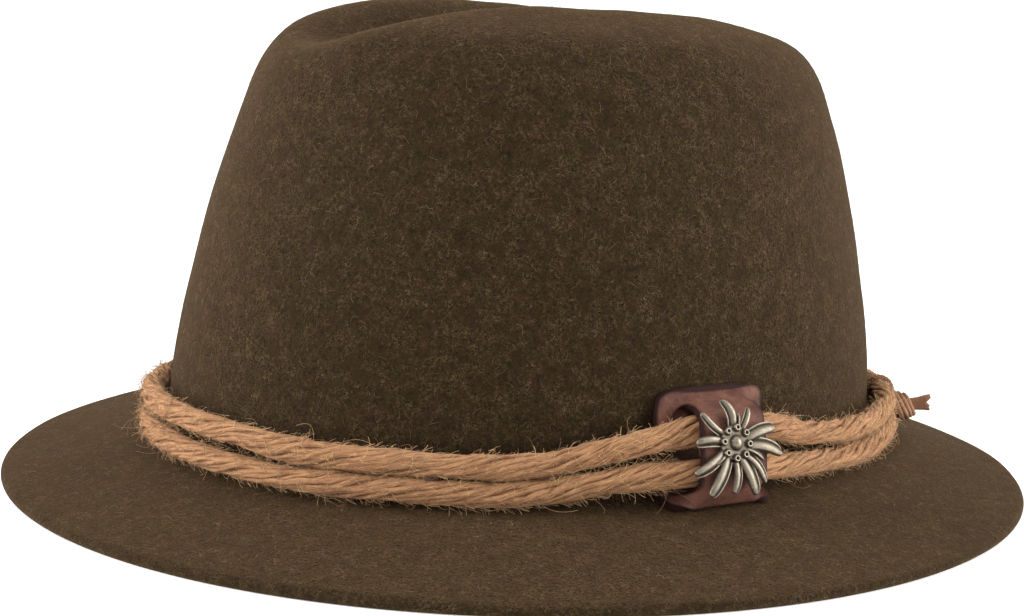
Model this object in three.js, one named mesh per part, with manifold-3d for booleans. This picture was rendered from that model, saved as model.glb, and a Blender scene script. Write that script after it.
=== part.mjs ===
// A tyrolean hat: one blocked felt shell, two strands of jute rope, a leather keeper with
// a cast edelweiss on it, and a lace tie. Millimetres, +Z up, the front at -Y, the wearer's left
// at +X. The brim's edge rests on Z = 0 and the brim's middle is over the origin.
import * as THREE from 'three';
import { mergeVertices } from 'three/addons/utils/BufferGeometryUtils.js';
import Module from 'manifold-3d';

const wasm = await Module();
wasm.setup();

// Felt shell
const headLength = 203.2; // inside the head opening, front to back
const headWidth = 168.2; // inside the head opening, side to side
const feltWall = 2.4;
const crownHeight = 117.5; // from the crown's foot to its top
const brimLength = 288.8;
const brimWidth = 274.8;
const brimDrop = 13.2; // from the crown's foot down to the brim's edge
const brimCurl = 1.0; // power of the brim's fall, 1 is a straight cone
const footDip = 1.8; // the crown's foot lies this much lower at the front and back than at the sides
const crownSetback = 1.6; // the crown's foot stands this far behind the brim's middle
const crownLean = 2.7; // the crown's top stands this far behind its foot
const topSlope = 2.4; // the top falls by this much to the back and rises to the front
const dentShift = -3.0; // the dent's middle line lies this far to the wearer's right
const footRadius = 3.0; // the hollow bend between crown and brim
const edgeLand = 2.6; // flat strip under the brim's edge, on which the hat rests

// Trim
const seatGap = 0.3; // clearance between neighbouring pieces
const ropeDiameter = 6.2;
const ropeBedding = 0.6; // extra clearance of the lower strand in the hollow bend
const leatherWall = 1.8;
const leatherEase = 0.3; // extra clearance of the leather, which never lies quite close
const keeperWidth = 32.0;
const keeperTop = 26.8; // the keeper's upper edge, above the crown's foot
const keeperApron = 10.2; // how far the keeper's lower edge lies out on the brim
const keeperSlant = 0.1; // the keeper's lower edge stands forward of its upper one
const bridgeWidth = 17.5;
const keeperAngle = 89.0; // degrees round from the front, towards the wearer's left
const flowerAngle = 88.4;
const flowerUp = 15.1; // the ornament's middle, above the crown's foot
const flowerPlate = 4.4; // radius of the ornament's middle plate
const plateThickness = 1.4;
const bossRadius = 1.6;
const beadRing = 3.8;
const beadRadius = 0.85;
const beadCount = 8;
const postRadius = 1.2;
const rivetRadius = 2.0;
const rivetThickness = 0.9;
const laceDiameter = 2.2;
const loopDiameter = 1.2; // the lace is pulled thin where it goes round the strands
const laceEase = 0.2; // extra clearance of the lace's loop round the strands
const laceTurns = 3;
const lacePitch = 1.9; // the turns touch, as a pulled lace does
const laceAngle = 154.0;
const knotRadius = 3.4; // from the knot's middle to the middle of its turns
const knotDrop = 1.5; // the knot's middle lies this far below the strands' middle
const knotStandoff = 0.8; // the first turn stands this far out from the loop
const knotTilt = 14.0; // degrees by which the turns lean back to the crown at their top
const laceEndLength = 4.6;
const laceEndHeight = 4.2;
const laceEndThickness = 2.2;

// The crown's side, from its foot to the middle of its top. along is the share of the way,
// rise a share of crownHeight and reach a share of the foot's half length and half width.
const crownProfile = [
  { along: 0.00, rise: 0.000, reach: 1.000 },
  { along: 0.04, rise: 0.060, reach: 0.991 },
  { along: 0.13, rise: 0.200, reach: 0.978 },
  { along: 0.26, rise: 0.400, reach: 0.937 },
  { along: 0.39, rise: 0.600, reach: 0.879 },
  { along: 0.49, rise: 0.750, reach: 0.824 },
  { along: 0.57, rise: 0.860, reach: 0.772 },
  { along: 0.63, rise: 0.930, reach: 0.698 },
  { along: 0.70, rise: 0.975, reach: 0.572 },
  { along: 0.77, rise: 1.000, reach: 0.446 },
  { along: 0.88, rise: 1.000, reach: 0.210 },
  { along: 1.00, rise: 1.000, reach: 0.000 },
];

// The teardrop dent in the top. place is a share of the foot's half length, from the front,
// depth a share of crownHeight and spread a share of the foot's half width.
const topDent = [
  { place: -1.00, depth: 0.000, spread: 0.27 },
  { place: -0.80, depth: -0.015, spread: 0.30 },
  { place: -0.55, depth: 0.103, spread: 0.34 },
  { place: -0.25, depth: 0.188, spread: 0.42 },
  { place: 0.10, depth: 0.184, spread: 0.49 },
  { place: 0.45, depth: 0.154, spread: 0.49 },
  { place: 0.75, depth: 0.095, spread: 0.49 },
  { place: 1.00, depth: 0.000, spread: 0.49 },
];

// Where each strand leaves its seat, by the angle in degrees from the front. A lift is upwards and
// an out is away from the crown, both as shares of ropeDiameter.
const strandCourse = [
  { angle: 0, lowerLift: 0.27, upperLift: 0.24, lowerOut: 0.00, upperOut: 0.00 },
  { angle: 14, lowerLift: 0.26, upperLift: 0.24, lowerOut: 0.00, upperOut: 0.00 },
  { angle: 24, lowerLift: 0.18, upperLift: 0.12, lowerOut: 0.00, upperOut: 0.00 },
  { angle: 36, lowerLift: 0.13, upperLift: 0.02, lowerOut: 0.00, upperOut: 0.00 },
  { angle: 44, lowerLift: 0.15, upperLift: 0.00, lowerOut: 0.00, upperOut: 0.00 },
  { angle: 52, lowerLift: 0.06, upperLift: 0.00, lowerOut: 0.01, upperOut: 0.00 },
  { angle: 60, lowerLift: 0.06, upperLift: 0.00, lowerOut: 0.04, upperOut: 0.01 },
  { angle: 66, lowerLift: 0.24, upperLift: 0.01, lowerOut: 0.14, upperOut: 0.05 },
  { angle: 71, lowerLift: 0.56, upperLift: 0.06, lowerOut: 0.38, upperOut: 0.18 },
  { angle: 76, lowerLift: 0.80, upperLift: 0.20, lowerOut: 0.60, upperOut: 0.36 },
  { angle: 83, lowerLift: 0.88, upperLift: 0.50, lowerOut: 0.74, upperOut: 0.36 },
  { angle: 90, lowerLift: 0.85, upperLift: 0.65, lowerOut: 0.76, upperOut: 0.36 },
  { angle: 98, lowerLift: 0.68, upperLift: 0.56, lowerOut: 0.60, upperOut: 0.36 },
  { angle: 107, lowerLift: 0.34, upperLift: 0.16, lowerOut: 0.22, upperOut: 0.12 },
  { angle: 118, lowerLift: 0.08, upperLift: 0.10, lowerOut: 0.10, upperOut: 0.10 },
  { angle: 132, lowerLift: 0.08, upperLift: 0.02, lowerOut: 0.12, upperOut: 0.12 },
  { angle: 145, lowerLift: 0.20, upperLift: 0.00, lowerOut: 0.20, upperOut: 0.20 },
  { angle: 154, lowerLift: 0.21, upperLift: 0.00, lowerOut: 0.21, upperOut: 0.21 },
  { angle: 163, lowerLift: 0.19, upperLift: 0.00, lowerOut: 0.19, upperOut: 0.19 },
  { angle: 178, lowerLift: 0.03, upperLift: 0.00, lowerOut: 0.04, upperOut: 0.04 },
  { angle: 195, lowerLift: 0.00, upperLift: 0.00, lowerOut: 0.00, upperOut: 0.00 },
  { angle: 310, lowerLift: 0.00, upperLift: 0.00, lowerOut: 0.00, upperOut: 0.00 },
  { angle: 335, lowerLift: 0.18, upperLift: 0.15, lowerOut: 0.00, upperOut: 0.00 },
  { angle: 360, lowerLift: 0.27, upperLift: 0.24, lowerOut: 0.00, upperOut: 0.00 },
];

// The petals, anticlockwise. turn is the direction in degrees from the right, reach a share of
// the longest petal, width a share of its own reach and bend the sideways bow as such a share.
const longestPetal = 16.6;
const petals = [
  { turn: 14, reach: 0.78, width: 0.21, bend: 0.05 },
  { turn: 57, reach: 0.59, width: 0.17, bend: -0.03 },
  { turn: 74, reach: 0.45, width: 0.10, bend: 0.00 },
  { turn: 102, reach: 0.66, width: 0.22, bend: -0.10 },
  { turn: 138, reach: 0.71, width: 0.15, bend: 0.07 },
  { turn: 176, reach: 0.67, width: 0.22, bend: -0.04 },
  { turn: 209, reach: 0.85, width: 0.17, bend: 0.04 },
  { turn: 218, reach: 0.51, width: 0.11, bend: 0.03 },
  { turn: 236, reach: 0.90, width: 0.18, bend: 0.03 },
  { turn: 264, reach: 0.74, width: 0.17, bend: 0.06 },
  { turn: 292, reach: 0.84, width: 0.20, bend: 0.04 },
  { turn: 309, reach: 0.80, width: 0.15, bend: 0.08 },
  { turn: 330, reach: 0.58, width: 0.12, bend: 0.05 },
  { turn: 346, reach: 0.87, width: 0.20, bend: 0.07 },
];

// A petal's section along its way: breadth is a share of its half width, crest of petalCrest.
const petalCrest = 1.1;
const petalShape = [
  { way: 0.00, breadth: 0.45, crest: 0.70 },
  { way: 0.25, breadth: 0.80, crest: 0.90 },
  { way: 0.55, breadth: 1.00, crest: 1.00 },
  { way: 0.82, breadth: 0.75, crest: 0.85 },
  { way: 1.00, breadth: 0.20, crest: 0.45 },
];

// Mesh fineness
const roundSteps = 60;
const ropeSides = 8;
const ropeSteps = 84;
const laceSides = 6;
const laceSteps = 16;
const loopSteps = 24;

// Worked-out sizes
const footHalfLength = headLength / 2 + feltWall;
const footHalfWidth = headWidth / 2 + feltWall;
const ropeRadius = ropeDiameter / 2;
const laceRadius = laceDiameter / 2;
const loopRadius = loopDiameter / 2;
// From a surface to the middle of the leather on it.
const sheetSeat = seatGap + leatherEase + leatherWall / 2;
const degree = Math.PI / 180;

// Reads a column of a table as one smooth curve through its rows.
function lookUp(table, key, column, at) {
  const last = table.length - 1;
  const place = THREE.MathUtils.clamp(at, table[0][key], table[last][key]);
  let i = 0;
  while (i < last - 1 && place > table[i + 1][key]) i += 1;
  const slope = (j) => {
    const before = table[Math.max(j - 1, 0)];
    const after = table[Math.min(j + 1, last)];
    return (after[column] - before[column]) / (after[key] - before[key]);
  };
  const span = table[i + 1][key] - table[i][key];
  const t = (place - table[i][key]) / span;
  const startWeight = (1 + 2 * t) * (1 - t) * (1 - t);
  const endWeight = t * t * (3 - 2 * t);
  const startSlope = t * (1 - t) * (1 - t) * span * slope(i);
  const endSlope = t * t * (t - 1) * span * slope(i + 1);
  return startWeight * table[i][column] + endWeight * table[i + 1][column] + startSlope + endSlope;
}

// The share of the way up the crown's side at which it is this high above its foot.
function alongAtHeight(up) {
  let low = 0;
  let high = 0.6;
  for (let i = 0; i < 30; i += 1) {
    const middle = (low + high) / 2;
    if (lookUp(crownProfile, 'along', 'rise', middle) * crownHeight < up) low = middle;
    else high = middle;
  }
  return low;
}

// The height of the crown's foot over the brim's edge, at an angle in radians from the front.
function footHeight(angle) {
  return brimDrop - footDip * Math.cos(angle) ** 2;
}

// The outward normal of the crown's foot, level.
function footNormal(angle) {
  const slopes = [Math.sin(angle) / footHalfWidth, -Math.cos(angle) / footHalfLength];
  return new THREE.Vector3(...slopes, 0).normalize();
}

// A point of the crown's outside.
function crownPoint(along, angle) {
  const rise = lookUp(crownProfile, 'along', 'rise', along);
  const reach = lookUp(crownProfile, 'along', 'reach', along);
  const x = footHalfWidth * reach * Math.sin(angle);
  const y = crownSetback + crownLean * rise - footHalfLength * reach * Math.cos(angle);
  const place = y / footHalfLength;
  const depth = lookUp(topDent, 'place', 'depth', place) * crownHeight;
  const spread = lookUp(topDent, 'place', 'spread', place) * footHalfWidth;
  const across = Math.min(Math.abs(x - dentShift) / spread, 1);
  const dent = depth * (1 - across ** 2) ** 2 * rise ** 4;
  const foot = THREE.MathUtils.lerp(footHeight(angle), brimDrop, rise);
  return new THREE.Vector3(x, y, foot + crownHeight * rise - topSlope * place * rise ** 3 - dent);
}

// How far the crown's side stands in from its foot at a height, at the middle of its long side.
function wallOut(up) {
  return footHalfWidth * (lookUp(crownProfile, 'along', 'reach', alongAtHeight(Math.max(up, 0))) - 1);
}

// A point of the brim's top, share 0 at the crown's foot and 1 at the brim's edge.
function brimPoint(share, angle) {
  const x = THREE.MathUtils.lerp(footHalfWidth, brimWidth / 2, share) * Math.sin(angle);
  const y = -THREE.MathUtils.lerp(footHalfLength, brimLength / 2, share) * Math.cos(angle);
  const z = THREE.MathUtils.lerp(footHeight(angle), feltWall, share ** brimCurl);
  return new THREE.Vector3(x, y + crownSetback * (1 - share), z);
}

// The height of the brim's top against the crown's foot, this far out from it.
function brimUp(out, angle) {
  const breadth = brimPoint(1, angle).sub(brimPoint(0, angle)).dot(footNormal(angle));
  return -(footHeight(angle) - feltWall) * (Math.max(out, 0) / breadth) ** brimCurl;
}

// A point given by its angle, its distance out from the crown's foot and its height above it.
function footPoint(angle, out, up) {
  return brimPoint(0, angle).addScaledVector(footNormal(angle), out).setZ(footHeight(angle) + up);
}

// Joins rings of points, and a single point where a ring closes, into one closed geometry.
// Rings run anticlockwise seen from the side that the list starts on.
function closedSkin(rings, looped = false) {
  const positions = [];
  const starts = rings.map((ring) => {
    const start = positions.length / 3;
    ring.forEach((p) => positions.push(p.x, p.y, p.z));
    return start;
  });
  const faces = [];
  const pairs = looped ? rings.length : rings.length - 1;
  for (let r = 0; r < pairs; r += 1) {
    const next = (r + 1) % rings.length;
    const count = Math.max(rings[r].length, rings[next].length);
    for (let k = 0; k < count; k += 1) {
      const a = starts[r] + (k % rings[r].length);
      const b = starts[r] + ((k + 1) % rings[r].length);
      const c = starts[next] + ((k + 1) % rings[next].length);
      const d = starts[next] + (k % rings[next].length);
      if (rings[r].length > 1) faces.push(a, d, b);
      if (rings[next].length > 1) faces.push(b, d, c);
    }
  }
  return indexedGeometry(positions, faces);
}

function middleOf(ring) {
  return ring.reduce((sum, p) => sum.add(p), new THREE.Vector3()).divideScalar(ring.length);
}

function indexedGeometry(positions, faces) {
  const geometry = new THREE.BufferGeometry();
  geometry.setAttribute('position', new THREE.Float32BufferAttribute(positions, 3));
  geometry.setIndex(faces);
  return geometry;
}

// Turns a closed geometry into a solid that can be joined and cut, and back.
function toSolid(geometry) {
  const bare = geometry.clone();
  bare.deleteAttribute('normal');
  bare.deleteAttribute('uv');
  const merged = mergeVertices(bare, 1e-4);
  const vertProperties = new Float32Array(merged.attributes.position.array);
  const triVerts = new Uint32Array(merged.index.array);
  return new wasm.Manifold(new wasm.Mesh({ numProp: 3, vertProperties, triVerts }));
}

function fromSolid(solid) {
  const mesh = solid.getMesh();
  return indexedGeometry(Array.from(mesh.vertProperties), Array.from(mesh.triVerts));
}

function joinAll(geometries) {
  return geometries.map(toSolid).reduce((whole, piece) => whole.add(piece));
}

function piece(name, geometry, color, roughness, metalness = 0) {
  geometry.computeVertexNormals();
  const mesh = new THREE.Mesh(geometry, new THREE.MeshStandardMaterial({ color, roughness, metalness }));
  mesh.name = name;
  return mesh;
}

// Crown and brim
// The outside is a list of rings from the top's middle to the brim's edge. The inside is the same
// rings set in by the felt's thickness, so the wall is even round the dent and the bend.
function feltBody() {
  const angles = Array.from({ length: roundSteps }, (_, k) => (k * 2 * Math.PI) / roundSteps);
  const footAlong = alongAtHeight(footRadius);
  const crownAlongs = [0.93, 0.87, 0.81, 0.76, 0.71, 0.67, 0.63, 0.59, 0.54, 0.47, 0.38, 0.28, 0.18, 0.09];
  const brimShares = [0.1, 0.26, 0.46, 0.68, 0.88];
  const bendTurns = [30 * degree, 60 * degree];
  const bendRing = (turn) => angles.map((angle) => {
    const up = footRadius * (1 - Math.sin(turn));
    const out = footRadius * (1 - Math.cos(turn));
    return footPoint(angle, wallOut(up) + out, up + brimUp(out, angle));
  });
  const outside = [
    ...[...crownAlongs, footAlong].map((along) => angles.map((angle) => crownPoint(along, angle))),
    ...bendTurns.map(bendRing),
    ...brimShares.map((share) => angles.map((angle) => brimPoint(share, angle))),
  ];
  const topMiddle = crownPoint(1, 0);
  const inside = outside.map((ring, r) => ring.map((point, k) => {
    const round = new THREE.Vector3().subVectors(ring[(k + 1) % roundSteps], ring.at(k - 1));
    const before = r > 0 ? outside[r - 1][k] : topMiddle;
    const after = outside[Math.min(r + 1, outside.length - 1)][k];
    const down = new THREE.Vector3().subVectors(after, before);
    const normal = new THREE.Vector3().crossVectors(down, round).normalize();
    return point.clone().addScaledVector(normal, -feltWall);
  }));
  const edgeRound = feltWall / 2;
  const edge = [
    { inset: edgeRound * (1 - Math.SQRT1_2), height: edgeRound * (1 + Math.SQRT1_2) },
    { inset: 0, height: edgeRound },
    { inset: edgeRound * (1 - Math.SQRT1_2), height: edgeRound * (1 - Math.SQRT1_2) },
    { inset: edgeRound, height: 0 },
    { inset: edgeRound + edgeLand, height: 0 },
  ].map(({ inset, height }) => angles.map((angle) => new THREE.Vector3(
    (brimWidth / 2 - inset) * Math.sin(angle),
    -(brimLength / 2 - inset) * Math.cos(angle),
    height,
  )));
  const innerMiddle = topMiddle.clone().setZ(topMiddle.z - feltWall);
  return closedSkin([[topMiddle], ...outside, ...edge, ...inside.reverse(), [innerMiddle]]);
}

// Rope strands
// The lower strand lies in the bend between crown and brim and the upper one on top of it. They
// part to pass through the keeper, and stand off the crown where the lace goes round them.
function strandPlace(angleDegrees, strand) {
  const turn = ((angleDegrees % 360) + 360) % 360;
  const read = (column) => lookUp(strandCourse, 'angle', column, turn) * ropeDiameter;
  const seatOut = ropeRadius + seatGap + ropeBedding;
  const lowerOut = seatOut + read('lowerOut');
  const brim = brimUp(lowerOut, turn * degree);
  const lowerUp = brim + ropeRadius + seatGap + ropeBedding + read('lowerLift');
  if (strand === 'lower') {
    return { out: wallOut(lowerUp) + lowerOut, up: lowerUp };
  }
  const upperUp = lowerUp + ropeDiameter + seatGap + read('upperLift');
  return { out: wallOut(upperUp) + seatOut + read('upperOut'), up: upperUp };
}

class StrandCurve extends THREE.Curve {
  constructor(strand) {
    super();
    this.strand = strand;
  }

  getPoint(t, target = new THREE.Vector3()) {
    const { out, up } = strandPlace(t * 360, this.strand);
    return target.copy(footPoint(t * 2 * Math.PI, out, up));
  }
}

function ropeStrand(strand) {
  const tube = new THREE.TubeGeometry(new StrandCurve(strand), ropeSteps, ropeRadius, ropeSides, true);
  return fromSolid(toSolid(tube));
}

// Leather keeper
// Two lines of places, out from the crown's foot and up from it, run down the leather: one behind
// the strands for the backing, one over them for the bridge.
function keeperLines() {
  const lower = strandPlace(keeperAngle, 'lower');
  const upper = strandPlace(keeperAngle, 'upper');
  const onWall = (up) => new THREE.Vector2(wallOut(up) + sheetSeat, up);
  const onBrim = (out) => new THREE.Vector2(out, brimUp(out, keeperAngle * degree) + sheetSeat);
  const down = new THREE.Vector2(lower.out - upper.out, lower.up - upper.up).normalize();
  const front = new THREE.Vector2(-down.y, down.x);
  const cover = ropeRadius + sheetSeat;
  const overUpper = new THREE.Vector2(upper.out, upper.up).addScaledVector(front, cover);
  const overLower = new THREE.Vector2(lower.out, lower.up).addScaledVector(front, cover);
  const shoulder = new THREE.Vector2(upper.out, upper.up)
    .add(new THREE.Vector2(front.x - down.x, front.y - down.y).normalize().multiplyScalar(cover));
  const bend = footRadius + sheetSeat;
  const lobe = new THREE.SplineCurve([
    onWall(keeperTop),
    onWall(keeperTop * 0.7),
    onWall(keeperTop * 0.4),
    onWall(bend * 1.2),
    new THREE.Vector2(bend * 0.55, bend * 0.45),
    onBrim(bend * 1.4),
    onBrim(keeperApron),
  ]);
  const bridge = new THREE.SplineCurve([
    onWall(keeperTop),
    onWall(Math.max(keeperTop * 0.93, shoulder.y + 1)),
    shoulder,
    overUpper,
    overLower,
    new THREE.Vector2((overLower.x + keeperApron) / 2 + 0.6, (overLower.y + onBrim(keeperApron).y) / 2),
    onBrim(keeperApron - leatherWall / 2),
  ]);
  return { lobe, bridge, front, overUpper, overLower };
}

// The place of a point of the leather in space, with side -1 and 1 for its two faces.
function keeperPoint(line, share, across, side) {
  const place = line.getPointAt(share);
  const tangent = line.getTangentAt(share);
  const out = place.x - (tangent.y * side * leatherWall) / 2;
  const up = place.y + (tangent.x * side * leatherWall) / 2;
  const slide = across + (up - keeperTop / 2) * keeperSlant;
  return footPoint(keeperAngle * degree + slide / footHalfLength, out, up);
}

// One sheet of the leather along a line, with its corners rounded to the keeper's outline.
function leatherSheet(line, columns, shares) {
  const half = keeperWidth / 2;
  const width = columns.length;
  const skinPoint = (c, r, side) => {
    const u = columns[c] / half;
    const v = 2 * shares[r] - 1;
    return keeperPoint(line, (1 + v * (1 - 0.09 * u ** 6)) / 2, columns[c] * (1 - 0.16 * v ** 6), side);
  };
  const cells = [];
  for (let r = 0; r + 1 < shares.length; r += 1) {
    for (let c = 0; c + 1 < width; c += 1) {
      cells.push([r * width + c, r * width + c + 1, (r + 1) * width + c + 1, (r + 1) * width + c]);
    }
  }
  const positions = [1, -1].flatMap((side) => shares.flatMap((_, r) => columns.flatMap(
    (__, c) => skinPoint(c, r, side).toArray(),
  )));
  const back = shares.length * width;
  const edges = new Set(cells.flatMap((cell) => cell.map((a, i) => `${a} ${cell[(i + 1) % 4]}`)));
  const faces = cells.flatMap(([a, b, c, d]) => [a, d, b, b, d, c,
    a + back, b + back, d + back, b + back, c + back, d + back]);
  edges.forEach((edge) => {
    const [a, b] = edge.split(' ').map(Number);
    if (!edges.has(`${b} ${a}`)) faces.push(a, b, a + back, b, b + back, a + back);
  });
  return toSolid(indexedGeometry(positions, faces));
}

// The backing lies on the crown and the brim behind the strands, and the bridge over the strands
// joins it above and below.
function leatherKeeper() {
  const { lobe, bridge, front, overUpper, overLower } = keeperLines();
  const across = (half, shares) => shares.map((share) => share * half);
  const backing = leatherSheet(
    lobe,
    across(keeperWidth / 2, [-1, -0.8, -0.5, -0.17, 0.17, 0.5, 0.8, 1]),
    [0, 0.07, 0.14, 0.28, 0.42, 0.52, 0.6, 0.69, 0.78, 0.86, 0.93, 1],
  );
  const strap = leatherSheet(
    bridge,
    across(bridgeWidth / 2, [-1, -0.5, 0, 0.5, 1]),
    [0.03, 0.08, 0.14, 0.19, 0.24, 0.31, 0.4, 0.5, 0.6, 0.69, 0.78, 0.86, 0.93, 1],
  );
  const hole = new THREE.CylinderGeometry(postRadius + seatGap, postRadius + seatGap, leatherWall * 4, 12);
  hole.rotateX(Math.PI / 2);
  hole.applyMatrix4(postFrame(front, overUpper, overLower));
  return fromSolid(strap.subtract(toSolid(hole)).add(backing));
}

// A frame on the bridge: its Z is the bridge's outward normal and its Y runs up the bridge.
function bridgeFrame(front, angle, place) {
  const normal = footNormal(angle).multiplyScalar(front.x).setZ(front.y).normalize();
  const aside = new THREE.Vector3().crossVectors(new THREE.Vector3(0, 0, 1), normal).normalize();
  const upward = new THREE.Vector3().crossVectors(normal, aside);
  const frame = new THREE.Matrix4().makeBasis(aside, upward, normal);
  return frame.setPosition(footPoint(angle, place.x, place.y));
}

// The rivet's place is halfway between the strands.
function postFrame(front, overUpper, overLower) {
  return bridgeFrame(front, flowerAngle * degree, overUpper.clone().lerp(overLower, 0.5));
}

// Edelweiss
// Petals, plate, boss, beads, post and rivet head are one casting. The plate's back is at Z = 0.
function petalSkin({ turn, reach, width, bend }) {
  const length = reach * longestPetal;
  const root = flowerPlate * 0.6;
  const half = (width * length) / 2;
  const sections = petalShape.map(({ way, breadth, crest }) => {
    const x = root + (length - root) * way;
    const y = bend * length * Math.sin(Math.PI * way);
    const floor = 0.35 + 0.35 * Math.sin(Math.PI * way);
    return [
      new THREE.Vector3(x, y - half * breadth, floor),
      new THREE.Vector3(x, y - half * breadth * 0.35, floor + petalCrest * crest),
      new THREE.Vector3(x, y + half * breadth, floor + petalCrest * crest * 0.45),
      new THREE.Vector3(x, y + half * breadth * 0.6, floor),
    ];
  });
  const skin = closedSkin([[middleOf(sections[0])], ...sections, [middleOf(sections.at(-1))]]);
  return skin.rotateZ(turn * degree);
}

function edelweiss() {
  const { front, overUpper, overLower } = keeperLines();
  const plate = new THREE.CylinderGeometry(flowerPlate, flowerPlate, plateThickness, 16)
    .rotateX(Math.PI / 2).translate(0, 0, plateThickness / 2);
  const boss = new THREE.SphereGeometry(bossRadius, 10, 6).rotateX(Math.PI / 2)
    .scale(1, 1.15, 0.9).translate(0, 0, plateThickness);
  const beads = Array.from({ length: beadCount }, (_, k) => new THREE.CylinderGeometry(
    beadRadius * 0.8, beadRadius, beadRadius * 1.2, 7,
  ).rotateX(Math.PI / 2).translate(beadRing, 0, plateThickness + beadRadius * 0.5)
    .rotateZ((k - 0.19) * (2 * Math.PI / beadCount)));
  const along = (overUpper.y - flowerUp) / (overUpper.y - overLower.y);
  const place = overUpper.clone().lerp(overLower, along).addScaledVector(front, sheetSeat);
  const frame = bridgeFrame(front, flowerAngle * degree, place);
  const flower = fromSolid(joinAll([plate, boss, ...beads, ...petals.map(petalSkin)])).applyMatrix4(frame);
  const postLength = plateThickness / 2 + sheetSeat * 2 + rivetThickness;
  const post = new THREE.CylinderGeometry(postRadius, postRadius, postLength, 10)
    .rotateX(Math.PI / 2).translate(0, 0, plateThickness / 2 + sheetSeat - postLength / 2);
  const rivet = new THREE.CylinderGeometry(rivetRadius, rivetRadius, rivetThickness, 12)
    .rotateX(Math.PI / 2).translate(0, 0, -sheetSeat - rivetThickness / 2);
  const shank = [post, rivet].map((g) => g.applyMatrix4(postFrame(front, overUpper, overLower)));
  return fromSolid(joinAll([flower, ...shank]));
}

// Lace tie
// The lace's loop goes round both strands, level with its own angle.
class LaceLoop extends THREE.Curve {
  getPoint(t, target = new THREE.Vector3()) {
    const { lower, upper } = strandsAtLace();
    const turn = t * 2 * Math.PI;
    const reach = ropeRadius + seatGap + laceEase + loopRadius;
    const round = Math.sin(turn) >= 0 ? upper : lower;
    const out = round.out + reach * Math.cos(turn);
    return target.copy(footPoint(laceAngle * degree, out, round.up + reach * Math.sin(turn)));
  }
}

function strandsAtLace() {
  return { lower: strandPlace(laceAngle, 'lower'), upper: strandPlace(laceAngle, 'upper') };
}

// The knot's turns stand side by side outside the loop, and the cut end sticks out of their
// middle. way and out run outwards, and a height is a share of laceEndHeight.
function laceTie() {
  const { lower, upper } = strandsAtLace();
  const normal = footNormal(laceAngle * degree);
  const knotUp = (lower.up + upper.up) / 2 - knotDrop;
  const knotOut = (lower.out + upper.out) / 2 + ropeRadius + seatGap + laceEase + loopRadius;
  const place = footPoint(laceAngle * degree, knotOut, knotUp);
  const upward = new THREE.Vector3(0, 0, 1);
  const frame = new THREE.Matrix4()
    .makeBasis(new THREE.Vector3().crossVectors(upward, normal), upward, normal).setPosition(place);
  const turns = Array.from({ length: laceTurns }, (_, k) => (
    new THREE.TorusGeometry(knotRadius, laceRadius, laceSides, laceSteps)
      .translate(0, 0, knotStandoff + (k + 0.5) * lacePitch)));
  const knotLength = knotStandoff + laceTurns * lacePitch;
  const coreStart = laceEase;
  const core = new THREE.CylinderGeometry(knotRadius, knotRadius, knotLength - coreStart, 12)
    .rotateX(Math.PI / 2).translate(0, 0, (knotLength + coreStart) / 2);
  [...turns, core].forEach((geometry) => geometry.rotateX(-knotTilt * degree));
  const endSections = [
    { way: 0.00, height: 0.75, thick: 0.9, lift: 0.15 },
    { way: 0.45, height: 0.85, thick: 0.9, lift: 0.20 },
    { way: 0.85, height: 1.00, thick: 1.0, lift: 0.30 },
    { way: 1.00, height: 0.90, thick: 0.8, lift: 0.30 },
  ].map(({ way, height, thick, lift }) => [[-1, -1], [-1, 1], [1, 1], [1, -1]].map(([aside, high]) => (
    new THREE.Vector3(
      (aside * laceEndThickness * thick) / 2,
      laceEndHeight * (lift + (high * height) / 2),
      knotLength * (1 - way) * 0.8 + (knotLength + laceEndLength) * way,
    ))));
  const end = closedSkin([[middleOf(endSections[0])], ...endSections, [middleOf(endSections.at(-1))]]);
  const knot = [...turns, core, end].map((geometry) => geometry.applyMatrix4(frame));
  const loop = new THREE.TubeGeometry(new LaceLoop(), loopSteps, loopRadius, laceSides, true);
  return fromSolid(joinAll([loop, ...knot]));
}

const hat = new THREE.Group();
hat.add(
  piece('felt_body', feltBody(), 0x4a3c28, 0.95),
  piece('rope_lower', ropeStrand('lower'), 0xa87b55, 0.9),
  piece('rope_upper', ropeStrand('upper'), 0xa87b55, 0.9),
  piece('leather_keeper', leatherKeeper(), 0x5d3a33, 0.6),
  piece('edelweiss', edelweiss(), 0x8d877c, 0.4, 1),
  piece('lace_tie', laceTie(), 0x7d4f3a, 0.8),
);

export default hat;
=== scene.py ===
import logging
import math
from collections.abc import Callable, Sequence
from dataclasses import dataclass, field
from enum import Enum
from functools import cache

import bmesh
import bpy
import numpy as np
from mathutils import Matrix, Vector, geometry


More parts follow.
